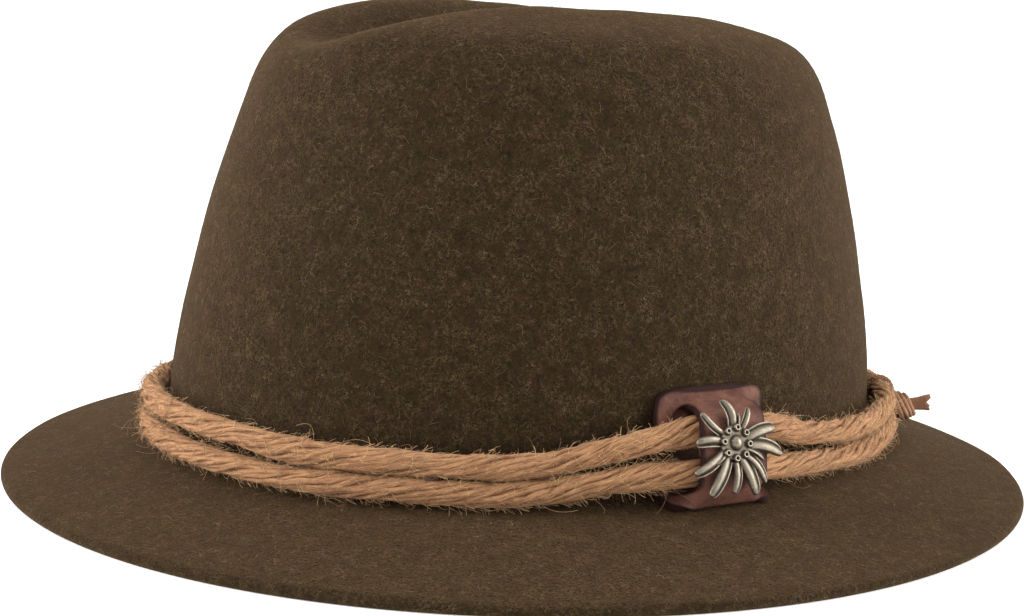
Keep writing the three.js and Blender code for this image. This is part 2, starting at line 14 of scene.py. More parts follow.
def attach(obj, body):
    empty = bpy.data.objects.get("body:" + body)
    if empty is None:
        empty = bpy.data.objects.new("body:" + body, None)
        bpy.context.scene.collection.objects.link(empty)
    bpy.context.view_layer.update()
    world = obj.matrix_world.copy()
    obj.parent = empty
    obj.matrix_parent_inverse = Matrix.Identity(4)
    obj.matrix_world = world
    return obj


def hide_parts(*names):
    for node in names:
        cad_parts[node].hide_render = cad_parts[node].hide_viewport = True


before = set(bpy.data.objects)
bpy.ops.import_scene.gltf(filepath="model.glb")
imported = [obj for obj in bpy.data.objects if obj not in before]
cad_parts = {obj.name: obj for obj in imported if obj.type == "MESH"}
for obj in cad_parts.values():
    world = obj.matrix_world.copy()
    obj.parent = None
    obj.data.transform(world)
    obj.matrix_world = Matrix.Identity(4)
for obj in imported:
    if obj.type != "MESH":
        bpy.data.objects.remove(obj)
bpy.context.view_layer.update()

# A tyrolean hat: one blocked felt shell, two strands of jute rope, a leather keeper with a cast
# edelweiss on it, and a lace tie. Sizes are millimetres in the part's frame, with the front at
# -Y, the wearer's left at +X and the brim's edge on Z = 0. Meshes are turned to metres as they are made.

log = logging.getLogger("hat")

MM = 0.001
IMAGE = (1024, 616)
ROOT = "root"

Tree, Socket = bpy.types.NodeTree, bpy.types.NodeSocket

# A skin is its points and, for each face, its points' numbers.
Skin = tuple[np.ndarray, list]

# The crown's side, from its foot to the middle of its top. along is the share of the way, rise a
# share of crown_height and reach a share of the foot's half length and half width.
CROWN_PROFILE = {
    "along": (0.00, 0.04, 0.13, 0.26, 0.39, 0.49, 0.57, 0.63, 0.70, 0.77, 0.88, 1.00),
    "rise": (0.000, 0.060, 0.200, 0.400, 0.600, 0.750, 0.860, 0.930, 0.975, 1.000, 1.000, 1.000),
    "reach": (1.000, 0.991, 0.978, 0.937, 0.879, 0.824, 0.772, 0.698, 0.572, 0.446, 0.210, 0.000),
}

# The teardrop dent in the top. place is a share of the foot's half length, from the front, depth a
# share of crown_height and spread a share of the foot's half width.
TOP_DENT = {
    "place": (-1.00, -0.80, -0.55, -0.25, 0.10, 0.45, 0.75, 1.00),
    "depth": (0.000, -0.015, 0.103, 0.188, 0.184, 0.154, 0.095, 0.000),
    "spread": (0.27, 0.30, 0.34, 0.42, 0.49, 0.49, 0.49, 0.49),
}

# Where each strand leaves its seat, by the angle in degrees from the front. A lift is upwards and an
# out is away from the crown, both as shares of the rope's diameter.
STRAND_COURSE = {
    "angle": (0, 14, 24, 36, 44, 52, 60, 66, 71, 76, 83, 90, 98, 107, 118,
              132, 145, 154, 163, 178, 195, 310, 335, 360),
    "lower_lift": (0.27, 0.26, 0.18, 0.13, 0.15, 0.06, 0.06, 0.24, 0.56, 0.80, 0.88, 0.85, 0.68, 0.34, 0.08,
                   0.08, 0.20, 0.21, 0.19, 0.03, 0.00, 0.00, 0.18, 0.27),
    "upper_lift": (0.24, 0.24, 0.12, 0.02, 0.00, 0.00, 0.00, 0.01, 0.06, 0.20, 0.50, 0.65, 0.56, 0.16, 0.10,
                   0.02, 0.00, 0.00, 0.00, 0.00, 0.00, 0.00, 0.15, 0.24),
    "lower_out": (0.00, 0.00, 0.00, 0.00, 0.00, 0.01, 0.04, 0.14, 0.38, 0.60, 0.74, 0.76, 0.60, 0.22, 0.10,
                  0.12, 0.20, 0.21, 0.19, 0.04, 0.00, 0.00, 0.00, 0.00),
    "upper_out": (0.00, 0.00, 0.00, 0.00, 0.00, 0.00, 0.01, 0.05, 0.18, 0.36, 0.36, 0.36, 0.36, 0.12, 0.10,
                  0.12, 0.20, 0.21, 0.19, 0.04, 0.00, 0.00, 0.00, 0.00),
}

# The petals, anticlockwise. turn is the direction in degrees from the right, reach a share of the
# longest petal, width a share of its own reach and bend the sideways bow as such a share.
PETALS = (
    {"turn": 14, "reach": 0.78, "width": 0.21, "bend": 0.05},
    {"turn": 57, "reach": 0.59, "width": 0.17, "bend": -0.03},
    {"turn": 74, "reach": 0.45, "width": 0.10, "bend": 0.00},
    {"turn": 102, "reach": 0.66, "width": 0.22, "bend": -0.10},
    {"turn": 138, "reach": 0.71, "width": 0.15, "bend": 0.07},
    {"turn": 176, "reach": 0.67, "width": 0.22, "bend": -0.04},
    {"turn": 209, "reach": 0.85, "width": 0.17, "bend": 0.04},
    {"turn": 218, "reach": 0.51, "width": 0.11, "bend": 0.03},
    {"turn": 236, "reach": 0.90, "width": 0.18, "bend": 0.03},
    {"turn": 264, "reach": 0.74, "width": 0.17, "bend": 0.06},
    {"turn": 292, "reach": 0.84, "width": 0.20, "bend": 0.04},
    {"turn": 309, "reach": 0.80, "width": 0.15, "bend": 0.08},
    {"turn": 330, "reach": 0.58, "width": 0.12, "bend": 0.05},
    {"turn": 346, "reach": 0.87, "width": 0.20, "bend": 0.07},
)

# A petal's section, from its low edge over the ridge and the groove to its far edge, as shares of its
# half width and of its crest.
PETAL_SECTION = {
    "aside": (-1.0, -0.96, -0.72, -0.38, -0.02, 0.26, 0.46, 0.60, 0.76, 0.90, 1.0, 0.85, 0.0),
    "high": (0.0, 0.50, 0.90, 1.0, 0.93, 0.70, 0.34, 0.26, 0.46, 0.50, 0.22, 0.0, -0.12),
}

# The keeper's cut edge, clockwise from its upper left. across is in millimetres towards the back of
# the hat and down a share of the way down the leather.
KEEPER_EDGE = {
    "across": (-16.3, -15.3, -11.6, -4.0, 6.5, 12.2, 14.8, 15.7, 15.8, 15.4,
               14.6, 12.4, 5.0, -3.0, -9.5, -12.2, -13.8, -14.6, -15.5, -16.4),
    "down": (0.10, 0.035, 0.0, 0.0, 0.0, 0.008, 0.04, 0.12, 0.50, 0.90,
             0.97, 1.0, 0.985, 0.99, 1.0, 0.965, 0.88, 0.74, 0.45, 0.22),
}

# The soft lights. azimuth and elevation are degrees round from the front, towards the wearer's left,
# and above the floor. distance and size are metres and power is in watts.
LIGHTS = (
    {"name": "left_light", "azimuth": -23, "elevation": 14, "distance": 1.3, "size": 0.9, "power": 24},
    {"name": "right_light", "azimuth": 139, "elevation": 14, "distance": 1.3, "size": 0.9, "power": 20},
    {"name": "ceiling_light", "azimuth": 0, "elevation": 90, "distance": 4.0, "size": 14.0, "power": 620},
)


class Strand(Enum):
    """The two strands of the hat cord."""

    LOWER = "lower"
    UPPER = "upper"


def smooth(table: dict[str, Sequence[float]], key: str, column: str, at: np.ndarray) -> np.ndarray:
    """Read a column of a table as one smooth curve through its rows.

    Args:
        table: The table, one sequence of numbers for each column.
        key: The column that at is measured along.
        column: The column to read.
        at: Where to read it, held inside the key's range.

    Returns:
        The column's values at those places.
    """
    keys = np.asarray(table[key], dtype=float)
    values = np.asarray(table[column], dtype=float)
    rows = np.arange(len(keys))
    before, after = np.maximum(rows - 1, 0), np.minimum(rows + 1, len(keys) - 1)
    slopes = (values[after] - values[before]) / (keys[after] - keys[before])
    place = np.clip(at, keys[0], keys[-1])
    i = np.clip(np.searchsorted(keys, place) - 1, 0, len(keys) - 2)
    width = keys[i + 1] - keys[i]
    t = (place - keys[i]) / width
    start, end = (1 + 2 * t) * (1 - t) ** 2, t * t * (3 - 2 * t)
    bend = t * (1 - t) ** 2 * slopes[i] + t * t * (t - 1) * slopes[i + 1]
    return start * values[i] + end * values[i + 1] + bend * width


def unit(vectors: np.ndarray) -> np.ndarray:
    """Return the vectors with length 1."""
    return vectors / np.linalg.norm(vectors, axis=-1, keepdims=True)


def ease(low: float, high: float, at: np.ndarray) -> np.ndarray:
    """Return 0 below low and 1 above high, with a smooth rise between them."""
    t = np.clip((np.asarray(at, dtype=float) - low) / (high - low), 0, 1)
    return t * t * (3 - 2 * t)


@dataclass(frozen=True)
class Ripple:
    """An uneven wave that is about this high.

    Each number of waves tells how many one part of it makes in a full turn, and the seed sets its phases.
    """

    height: float
    waves: tuple[int, ...]
    seed: int

    def at(self, turn: np.ndarray, shift: int = 0) -> np.ndarray:
        """Work out how high it stands.

        Args:
            turn: Angles in radians.
            shift: What its seed is moved on by.

        Returns:
            Its height at each angle.
        """
        phases = np.random.default_rng(self.seed + shift).uniform(0, 2 * math.pi, len(self.waves))
        total = sum(np.sin(wave * turn + phase) for wave, phase in zip(self.waves, phases))
        return self.height * total / math.sqrt(len(self.waves))


def walked(line: np.ndarray) -> np.ndarray:
    """Return how far along a line of points each of them lies."""
    return np.concatenate([[0], np.cumsum(np.linalg.norm(np.diff(line, axis=0), axis=1))])


def places_on(line: np.ndarray, far: np.ndarray) -> np.ndarray:
    """Return the points that lie these distances along a line of points."""
    known = walked(line)
    return np.stack([np.interp(far, known, column) for column in line.T], axis=-1)


def linear(code: str) -> tuple[float, float, float, float]:
    """Turn an sRGB hex colour into the linear colour that shaders take."""
    parts = [int(code[i:i + 2], 16) / 255 for i in (1, 3, 5)]
    return (*[p / 12.92 if p <= 0.04045 else ((p + 0.055) / 1.055) ** 2.4 for p in parts], 1.0)


def plug(tree: Tree, node: bpy.types.Node, inputs: dict) -> None:
    """Feed a node's sockets.

    Args:
        tree: The tree that holds the node.
        node: The node.
        inputs: For each socket's name or number, its value or the output that drives it.
    """
    for socket, value in inputs.items():
        if isinstance(value, Socket):
            tree.links.new(value, node.inputs[socket])
        else:
            node.inputs[socket].default_value = value


def put(tree: Tree, kind: str, inputs: dict | None = None, **settings) -> bpy.types.Node:
    """Add a node with its settings and links.

    Args:
        tree: The tree that takes the node.
        kind: Blender's name for the node's type.
        inputs: What feeds its sockets.
        **settings: The node's own properties.

    Returns:
        The new node.
    """
    node = tree.nodes.new(kind)
    for name, value in settings.items():
        setattr(node, name, value)
    plug(tree, node, inputs or {})
    return node


def calc(tree: Tree, operation: str, *values) -> Socket:
    """Return a socket that works out something, such as MULTIPLY, from sockets and numbers."""
    return put(tree, "ShaderNodeMath", dict(enumerate(values)), operation=operation).outputs[0]


def span(tree: Tree, value: Socket, low: float, high: float, start: float = 0.0, end: float = 1.0) -> Socket:
    """Return a socket that runs from start to end while a value runs from low to high."""
    return put(tree, "ShaderNodeMapRange", {
        "Value": value, "From Min": low, "From Max": high, "To Min": start, "To Max": end,
    }).outputs["Result"]


def noise(tree: Tree, place: Socket, size: float, low: float, high: float, seed: float,
          detail: float = 4.0) -> Socket:
    """Make a noise whose clouds are about this many millimetres broad.

    Args:
        tree: The tree that takes it.
        place: The coordinate that it is made on, in metres.
        size: Breadth of its clouds in millimetres.
        low: The noise's value that becomes 0.
        high: The noise's value that becomes 1.
        seed: Fourth coordinate, so that two noises differ.
        detail: How many finer noises are added to it.

    Returns:
        A socket between 0 and 1.
    """
    made = put(tree, "ShaderNodeTexNoise", {
        "Vector": place, "W": seed, "Scale": 1 / (size * MM), "Detail": detail, "Roughness": 0.62,
    }, noise_dimensions="4D").outputs["Fac"]
    return span(tree, made, low, high)


def mixed(tree: Tree, share: Socket, first: Socket | tuple, second: Socket | tuple) -> Socket:
    """Return a colour socket that goes from the first colour to the second as share goes to 1."""
    return put(tree, "ShaderNodeMix", {0: share, 6: first, 7: second}, data_type="RGBA").outputs[2]


def stored(tree: Tree, name: str) -> Socket:
    """Return a socket with a mesh's named attribute."""
    return put(tree, "ShaderNodeAttribute", attribute_name=name).outputs["Fac"]


def bumped(tree: Tree, height: Socket, depth: float, strength: float) -> Socket:
    """Return a normal that follows a height, this many millimetres deep."""
    return put(tree, "ShaderNodeBump", {
        "Height": height, "Distance": depth * MM, "Strength": strength,
    }).outputs["Normal"]


def fresh_material(name: str) -> tuple[bpy.types.Material, Tree, bpy.types.Node]:
    """Make a material.

    Args:
        name: Its name.

    Returns:
        The material, its tree and its shader.
    """
    made = bpy.data.materials.new(name)
    made.use_nodes = True
    return made, made.node_tree, made.node_tree.nodes["Principled BSDF"]


def mesh_object(name: str, points: np.ndarray, faces: Sequence[Sequence[int]]) -> bpy.types.Object:
    """Make a smooth-shaded mesh object at the origin.

    Args:
        name: The object's name.
        points: Its corners in millimetres.
        faces: The corners' numbers for each face, anticlockwise seen from outside.

    Returns:
        The object, linked to the scene.
    """
    mesh = bpy.data.meshes.new(name)
    corners = [list(map(int, face)) for face in faces]
    mesh.from_pydata((np.asarray(points).reshape(-1, 3) * MM).tolist(), [], corners)
    mesh.update()
    mesh.shade_smooth()
    made = bpy.data.objects.new(name, mesh)
    bpy.context.scene.collection.objects.link(made)
    return made


def store(piece: bpy.types.Object, name: str, values: np.ndarray) -> None:
    """Keep one number, or one vector, for each corner of a piece as a named attribute.

    Args:
        piece: The mesh object.
        name: The attribute's name.
        values: One row for each vertex.
    """
    values = np.asarray(values, dtype=np.float32)
    kind, slot = ("FLOAT", "value") if values.ndim == 1 else ("FLOAT_VECTOR", "vector")
    layer = piece.data.attributes.new(name, kind, "POINT")
    layer.data.foreach_set(slot, values.ravel())


def store_uv(piece: bpy.types.Object, values: np.ndarray) -> None:
    """Give a piece a UV map from one row for each corner of each face."""
    layer = piece.data.uv_layers.new(name="lay")
    layer.data.foreach_set("uv", np.asarray(values, dtype=np.float32).ravel())


def settled(piece: bpy.types.Object) -> bpy.types.Object:
    """Turn a piece's modifiers into plain mesh and take them off it.

    Args:
        piece: The mesh object.

    Returns:
        The same object, with its finished mesh.
    """
    graph = bpy.context.evaluated_depsgraph_get()
    mesh = bpy.data.meshes.new_from_object(piece.evaluated_get(graph))
    mesh.name = piece.name
    piece.modifiers.clear()
    piece.data = mesh
    return piece


def finished(piece: bpy.types.Object, material: bpy.types.Material | None, slot: str, *nodes: str) -> None:
    """Dress a piece, tie it to the frame and report it.

    Args:
        piece: The finished mesh object.
        material: Its finish, or None where it already has one.
        slot: The record's material slot; not used.
        *nodes: The CAD nodes that it stands for.
    """
    if material is not None:
        piece.data.materials.clear()
        piece.data.materials.append(material)
    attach(piece, ROOT)
    if nodes:
        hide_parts(*nodes)
    triangles = sum(len(polygon.vertices) - 2 for polygon in piece.data.polygons)
    log.info("%s: %d triangles", piece.name, triangles)


def ring_faces(rings: int, sides: int, looped: bool = False, start: int = 0) -> np.ndarray:
    """Number the four-sided faces between rings of points.

    Args:
        rings: How many rings there are.
        sides: How many points each ring has.
        looped: Whether the last ring joins the first.
        start: The first point's number.

    Returns:
        One row of four numbers for each face.
    """
    r, k = np.meshgrid(np.arange(rings if looped else rings - 1), np.arange(sides), indexing="ij")
    here, there = (r % rings) * sides, ((r + 1) % rings) * sides
    turn = (k + 1) % sides
    return np.stack([here + k, there + k, there + turn, here + turn], axis=-1).reshape(-1, 4) + start


def joined(parts: Sequence[Skin]) -> Skin:
    """Join skins into one.

    Args:
        parts: The skins.

    Returns:
        One skin.
    """
    starts = np.cumsum([0] + [len(points) for points, _ in parts])
    faces = [tuple(int(i) + start for i in face) for (_, own), start in zip(parts, starts) for face in own]
    return np.concatenate([points for points, _ in parts]), faces


def capped(points: np.ndarray, faces: list, first: np.ndarray, last: np.ndarray, sides: int) -> Skin:
    """Close both ends of a skin whose rings run anticlockwise seen from its last end.

    Args:
        points: The skin's points, ring by ring.
        faces: Its faces.
        first: The middle point of its first end.
        last: The middle point of its last end.
        sides: How many points a ring has.

    Returns:
        The points and faces with both ends closed.
    """
    count = len(points)
    faces = list(faces)
    for k in range(sides):
        after = (k + 1) % sides
        faces.append((count, after, k))
        faces.append((count + 1, count - sides + k, count - sides + after))
    return np.concatenate([points, np.reshape(first, (1, 3)), np.reshape(last, (1, 3))]), faces


@dataclass(frozen=True)
class HatForm:
    """The hat's driving sizes and the surfaces that follow from them."""

    head_length: float = 203.2
    head_width: float = 168.2
    felt_wall: float = 2.4
    crown_height: float = 117.5
    brim_length: float = 288.8
    brim_width: float = 274.8
    brim_drop: float = 13.2
    foot_dip: float = 1.8
    crown_setback: float = 1.6
    crown_lean: float = 2.7
    top_slope: float = 2.4
    dent_shift: float = -3.0
    foot_radius: float = 3.0
    edge_land: float = 2.6
    seat_gap: float = 0.3
    rope_diameter: float = 6.2
    rope_bedding: float = 0.6

    @property
    def foot_half_length(self) -> float:
        """Half the crown's outside length at its foot."""
        return self.head_length / 2 + self.felt_wall

    @property
    def foot_half_width(self) -> float:
        """Half the crown's outside width at its foot."""
        return self.head_width / 2 + self.felt_wall

    def foot_height(self, angle: np.ndarray) -> np.ndarray:
        """Return the height of the crown's foot at an angle in radians from the front."""
        return self.brim_drop - self.foot_dip * np.cos(angle) ** 2

    def foot_normal(self, angle: np.ndarray) -> np.ndarray:
        """Find the way straight out from the crown's foot.

        Args:
            angle: Radians round from the front.

        Returns:
            The level outward normals.
        """
        angle = np.asarray(angle, dtype=float)
        parts = [np.sin(angle) / self.foot_half_width, -np.cos(angle) / self.foot_half_length, 0 * angle]
        return unit(np.stack(parts, axis=-1))

    def along_at_height(self, up: np.ndarray) -> np.ndarray:
        """Return the share of the way up the crown's side at a height above its foot."""
        along = np.linspace(0, 0.6, 601)
        return np.interp(up, smooth(CROWN_PROFILE, "along", "rise", along) * self.crown_height, along)

    def wall_out(self, up: np.ndarray) -> np.ndarray:
        """Return how far the crown's side stands out from its foot at a height."""
        along = self.along_at_height(np.maximum(up, 0))
        return self.foot_half_width * (smooth(CROWN_PROFILE, "along", "reach", along) - 1)

    def crown_point(self, along: np.ndarray, angle: np.ndarray) -> np.ndarray:
        """Return points of the crown's outside.

        Args:
            along: Share of the way from the foot to the top's middle.
            angle: Radians round from the front.

        Returns:
            The points, one row of three for each pair.
        """
        along, angle = np.broadcast_arrays(along, angle)
        rise = smooth(CROWN_PROFILE, "along", "rise", along)
        reach = smooth(CROWN_PROFILE, "along", "reach", along)
        x = self.foot_half_width * reach * np.sin(angle)
        y = self.crown_setback + self.crown_lean * rise - self.foot_half_length * reach * np.cos(angle)
        place = y / self.foot_half_length
        depth = smooth(TOP_DENT, "place", "depth", place) * self.crown_height
        spread = smooth(TOP_DENT, "place", "spread", place) * self.foot_half_width
        across = np.minimum(np.abs(x - self.dent_shift) / spread, 1)
        dent = depth * (1 - across ** 2) ** 2 * rise ** 4
        foot = self.foot_height(angle) * (1 - rise) + self.brim_drop * rise
        z = foot + self.crown_height * rise - self.top_slope * place * rise ** 3 - dent
        return np.stack([x, y, z], axis=-1)

    def brim_point(self, share: np.ndarray, angle: np.ndarray) -> np.ndarray:
        """Return points of the brim's top.

        Args:
            share: 0 at the crown's foot and 1 at the brim's edge.
            angle: Radians round from the front.

        Returns:
            The points, one row of three for each pair.
        """
        share, angle = np.broadcast_arrays(np.asarray(share, dtype=float), angle)
        half_width = self.foot_half_width + (self.brim_width / 2 - self.foot_half_width) * share
        half_length = self.foot_half_length + (self.brim_length / 2 - self.foot_half_length) * share
        y = self.crown_setback * (1 - share) - half_length * np.cos(angle)
        z = self.foot_height(angle) * (1 - share) + self.felt_wall * share
        return np.stack([half_width * np.sin(angle), y, z], axis=-1)

    def brim_up(self, out: np.ndarray, angle: np.ndarray) -> np.ndarray:
        """Return the height of the brim's top against the crown's foot, this far out from it."""
        breadth = ((self.brim_point(1, angle) - self.brim_point(0, angle)) * self.foot_normal(angle)).sum(-1)
        return -(self.foot_height(angle) - self.felt_wall) * np.maximum(out, 0) / breadth

    def foot_point(self, angle: np.ndarray, out: np.ndarray, up: np.ndarray) -> np.ndarray:
        """Return points by their place against the crown's foot.

        Args:
            angle: Radians round from the front.
            out: Distance out from the foot.
            up: Height above the foot.

        Returns:
            The points, one row of three for each place.
        """
        angle, out, up = np.broadcast_arrays(*(np.asarray(v, dtype=float) for v in (angle, out, up)))
        points = self.brim_point(0, angle) + self.foot_normal(angle) * out[..., None]
        points[..., 2] = self.foot_height(angle) + up
        return points

    def strand_place(self, degrees: np.ndarray, strand: Strand) -> tuple[np.ndarray, np.ndarray]:
        """Return how far out and up from the crown's foot a strand's middle lies.

        Args:
            degrees: Degrees round from the front.
            strand: Which of the two strands.

        Returns:
            The distance out and the height above the foot.
        """
        turn = np.mod(degrees, 360.0)
        part = {name: smooth(STRAND_COURSE, "angle", name, turn) * self.rope_diameter
                for name in STRAND_COURSE if name != "angle"}
        radius = self.rope_diameter / 2
        seat_out = radius + self.seat_gap + self.rope_bedding
        lower_out = seat_out + part["lower_out"]
        lower_up = self.brim_up(lower_out, np.radians(turn)) + seat_out + part["lower_lift"]
        if strand is Strand.LOWER:
            return self.wall_out(lower_up) + lower_out, lower_up
        upper_up = lower_up + self.rope_diameter + self.seat_gap + part["upper_lift"]
        return self.wall_out(upper_up) + seat_out + part["upper_out"], upper_up


@dataclass(frozen=True)
class WoolFelt:
    """Mottled wool felt: matt, curly lighter fibres over a dark olive-brown ground, painted shade between the
    fibres.
    """

    olive: str = "#281E0C"
    brown: str = "#281B0F"
    russet: str = "#342217"
    fibre: str = "#6F5D42"
    shadow: str = "#150F08"
    tint: str = "#E6B47A"
    mottle_size: float = 5.0
    russet_size: float = 4.0
    fibre_size: float = 1.9
    cluster_size: float = 3.2
    speck_size: float = 0.9
    pit_shade_depth: float = 0.85
    fibre_share: float = 0.80

    def material(self) -> bpy.types.Material:
        """Build the felt's material.

        Returns:
            The new material.
        """
        made, tree, shader = fresh_material("wool_felt")
        place = put(tree, "ShaderNodeTexCoord").outputs["Object"]
        # Wools of three dyes mix unevenly, in clouds a few millimetres broad.
        browner = noise(tree, place, self.mottle_size, 0.40, 0.62, seed=1.0)
        redder = noise(tree, place, self.russet_size, 0.54, 0.72, seed=2.0)
        ground = mixed(tree, browner, linear(self.olive), linear(self.brown))
        ground = mixed(tree, redder, ground, linear(self.russet))
        # Painted shade: between the fibres the felt is darkened towards the shadow colour.
        pit_shade = noise(tree, place, self.speck_size, 0.48, 0.64, seed=4.0)
        pit_shade = calc(tree, "MULTIPLY", pit_shade, self.pit_shade_depth)
        ground = mixed(tree, pit_shade, ground, linear(self.shadow))
        # Curly fibres are the contour lines of two warped noises, shown in clusters.
        both = calc(tree, "MAXIMUM", *(
            self.fibre_lines(tree, place, self.fibre_size * share, seed)
            for share, seed in ((1.0, 0.0), (0.62, 7.3))))
        speck = noise(tree, place, self.speck_size, 0.35, 0.68, seed=3.0, detail=3.0)
        cluster = noise(tree, place, self.cluster_size, 0.36, 0.62, seed=5.0, detail=3.0)
        shown = calc(tree, "MULTIPLY", calc(tree, "MULTIPLY", both, speck), cluster)
        shown = calc(tree, "MULTIPLY", shown, self.fibre_share)
        height = calc(tree, "MULTIPLY_ADD", both, 0.6, speck)
        plug(tree, shader, {
            "Base Color": mixed(tree, shown, ground, linear(self.fibre)),
            "Normal": bumped(tree, height, 0.25, 0.6),
            "Roughness": 0.95, "Specular IOR Level": 0.10,
            "Sheen Weight": 0.15, "Sheen Roughness": 0.40, "Sheen Tint": linear(self.tint),
        })
        return made

    @staticmethod
    def fibre_lines(tree: Tree, place: Socket, size: float, seed: float) -> Socket:
        """Draw thin curly lines.

        Args:
            tree: The material's tree.
            place: The coordinate that they are drawn on.
            size: Breadth of a curl in millimetres.
            seed: Fourth coordinate of the noise.

        Returns:
            A socket that is 1 on a line and 0 away from it.
        """
        hills = put(tree, "ShaderNodeTexNoise", {
            "Vector": place, "W": seed, "Scale": 1 / (size * MM), "Detail": 2.0, "Distortion": 1.6,
        }, noise_dimensions="4D").outputs["Fac"]
        off = calc(tree, "ABSOLUTE", calc(tree, "SUBTRACT", hills, 0.5))
        return span(tree, off, 0.002, 0.030, 1.0, 0.0)


@dataclass(frozen=True)
class FibreFinish:
    """Loose fibres: matt, each a little lighter or darker than the next."""

    name: str
    dark: str
    light: str
    sheen: float = 0.2

    @cache
    def material(self) -> bpy.types.Material:
        """Build the fibres' material.

        Returns:
            The material, the same one each time.
        """
        made, tree, shader = fresh_material(self.name)
        plug(tree, shader, {
            "Base Color": mixed(tree, stored(tree, "chance"), linear(self.dark), linear(self.light)),
            "Roughness": 0.85, "Specular IOR Level": 0.2, "Sheen Weight": self.sheen,
        })
        return made


@dataclass(frozen=True)
class JuteYarn:
    """Spun jute: matt golden tan, streaked along its fibres, with painted shade in the gaps between them and
    darker down between the yarns.
    """

    name: str = "jute_yarn"
    # deep is the colour of the painted shade between the fibres and the yarns.
    deep: str = "#5E3826"
    body: str = "#855B3E"
    light: str = "#B78A62"
    tint: str = "#E0BE94"
    streak: float = 0.34
    streak_length: float = 2.7
    bundle: float = 1.1
    bundle_length: float = 6.5

    @cache
    def material(self) -> bpy.types.Material:
        """Build the jute's material.

        Returns:
            The material, the same one each time.
        """
        made, tree, shader = fresh_material(self.name)
        lay = put(tree, "ShaderNodeUVMap", uv_map="lay").outputs["UV"]
        streaks = self.grain(tree, lay, self.streak_length, self.streak, 0.0)
        bundles = self.grain(tree, lay, self.bundle_length, self.bundle, 3.1)
        tone = calc(tree, "MULTIPLY_ADD", streaks, 0.62, calc(tree, "MULTIPLY", bundles, 0.38))
        surface = mixed(tree, span(tree, tone, 0.38, 0.62), linear(self.body), linear(self.light))
        # Painted shade: thin dark gaps between the fibres, and darker painted shade still in the hollows
        # between the yarns.
        gap_shade = span(tree, tone, 0.36, 0.48, 0.80, 0.0)
        down = span(tree, stored(tree, "groove"), 0.66, 0.90, 0.9, 0.0)
        plug(tree, shader, {
            "Base Color": mixed(tree, calc(tree, "MAXIMUM", gap_shade, down), surface, linear(self.deep)),
            "Normal": bumped(tree, tone, 0.45, 0.8),
            "Roughness": 0.85, "Specular IOR Level": 0.25,
            "Sheen Weight": 0.15, "Sheen Roughness": 0.5, "Sheen Tint": linear(self.tint),
        })
        return made

    @staticmethod
    def grain(tree: Tree, lay: Socket, length: float, breadth: float, shift: float) -> Socket:
        """Return a noise drawn out along the yarn.

        Args:
            tree: The material's tree.
            lay: The yarn's UV map, whose unit is a millimetre, along the yarn in U and round it in V.
            length: A streak's length in millimetres.
            breadth: Its breadth in millimetres.
            shift: What sets one noise apart from another.

        Returns:
            A socket between 0 and 1.
        """
        drawn = put(tree, "ShaderNodeMapping", {
            "Vector": lay, "Scale": (1 / length, 1 / breadth, 1.0), "Location": (shift, shift, 0.0),
        }).outputs["Vector"]
        return put(tree, "ShaderNodeTexNoise", {
            "Vector": drawn, "Scale": 1.0, "Detail": 5.0, "Roughness": 0.65, "Distortion": 0.8,
        }).outputs["Fac"]


@dataclass(frozen=True)
class GrainedLeather:
    """Vegetable-tanned leather: red-brown, half matt, with fine pores and darker edges, from a burnish and
    from painted shade.
    """

    name: str = "grained_leather"
    body: str = "#533229"
    worn: str = "#7D5545"
    edge: str = "#2A1412"
    pore: float = 0.5
    cloud: float = 7.0
    roughness: float = 0.56

    def material(self) -> bpy.types.Material:
        """Build the leather's material.

        Returns:
            The new material.
        """
        made, tree, shader = fresh_material(self.name)
        place = put(tree, "ShaderNodeTexCoord").outputs["Object"]
        cloud = noise(tree, place, self.cloud, 0.38, 0.64, seed=1.0)
        cells = put(tree, "ShaderNodeTexVoronoi", {
            "Vector": place, "Scale": 1 / (self.pore * MM), "Randomness": 1.0,
        }, feature="DISTANCE_TO_EDGE").outputs["Distance"]
        crease = span(tree, cells, 0.0, 0.22)
        surface = mixed(tree, cloud, linear(self.body), linear(self.worn))
        surface = mixed(tree, span(tree, crease, 0.0, 1.0, 0.35, 0.0), surface, linear(self.edge))
        # Painted shade and a real dark edge: within about 0.9 mm of a cut edge the leather darkens to the
        # edge colour, which also holds down the light falling on the edges from above.
        burnished_and_shade = span(tree, stored(tree, "rim"), 0.05, 0.9, 1.0, 0.0)
        height = calc(tree, "MULTIPLY_ADD", cloud, 0.5, crease)
        plug(tree, shader, {
            "Base Color": mixed(tree, burnished_and_shade, surface, linear(self.edge)),
            "Normal": bumped(tree, height, 0.07, 0.7),
            "Roughness": span(tree, crease, 0.0, 1.0, self.roughness + 0.15, self.roughness),
            "Specular IOR Level": 0.18,
        })
        return made


@dataclass(frozen=True)
class AntiquePewter:
    """Cast white metal: rubbed bright on its crests, with dark patina and painted shade in the recesses."""

    bright: str = "#8C8374"
    dull: str = "#5C5348"
    patina_and_shade: str = "#2A2520"
    grit: float = 0.8

    def material(self) -> bpy.types.Material:
        """Build the metal's material.

        Returns:
            The new material.
        """
        made, tree, shader = fresh_material("antique_pewter")
        place = put(tree, "ShaderNodeTexCoord").outputs["Object"]
        grit = put(tree, "ShaderNodeTexNoise", {
            "Vector": place, "Scale": 1 / (self.grit * MM), "Detail": 5.0, "Roughness": 0.65,
        }).outputs["Fac"]
        level = calc(tree, "MULTIPLY_ADD", grit, 0.30, stored(tree, "crest"))
        metal = mixed(tree, span(tree, level, 0.62, 1.02), linear(self.dull), linear(self.bright))
        # Painted shade and patina: where crest is low, in the recesses, the metal darkens to the patina
        # colour, for the patina it has and for the shade that falls there.
        plug(tree, shader, {
            "Base Color": mixed(tree, span(tree, level, 0.34, 0.62, 1.0, 0.0), metal, linear(self.patina_and_shade)),
            "Roughness": span(tree, level, 0.3, 0.9, 0.64, 0.43),
            "Normal": bumped(tree, grit, 0.08, 0.5),
            "Metallic": 1.0,
        })
        return made


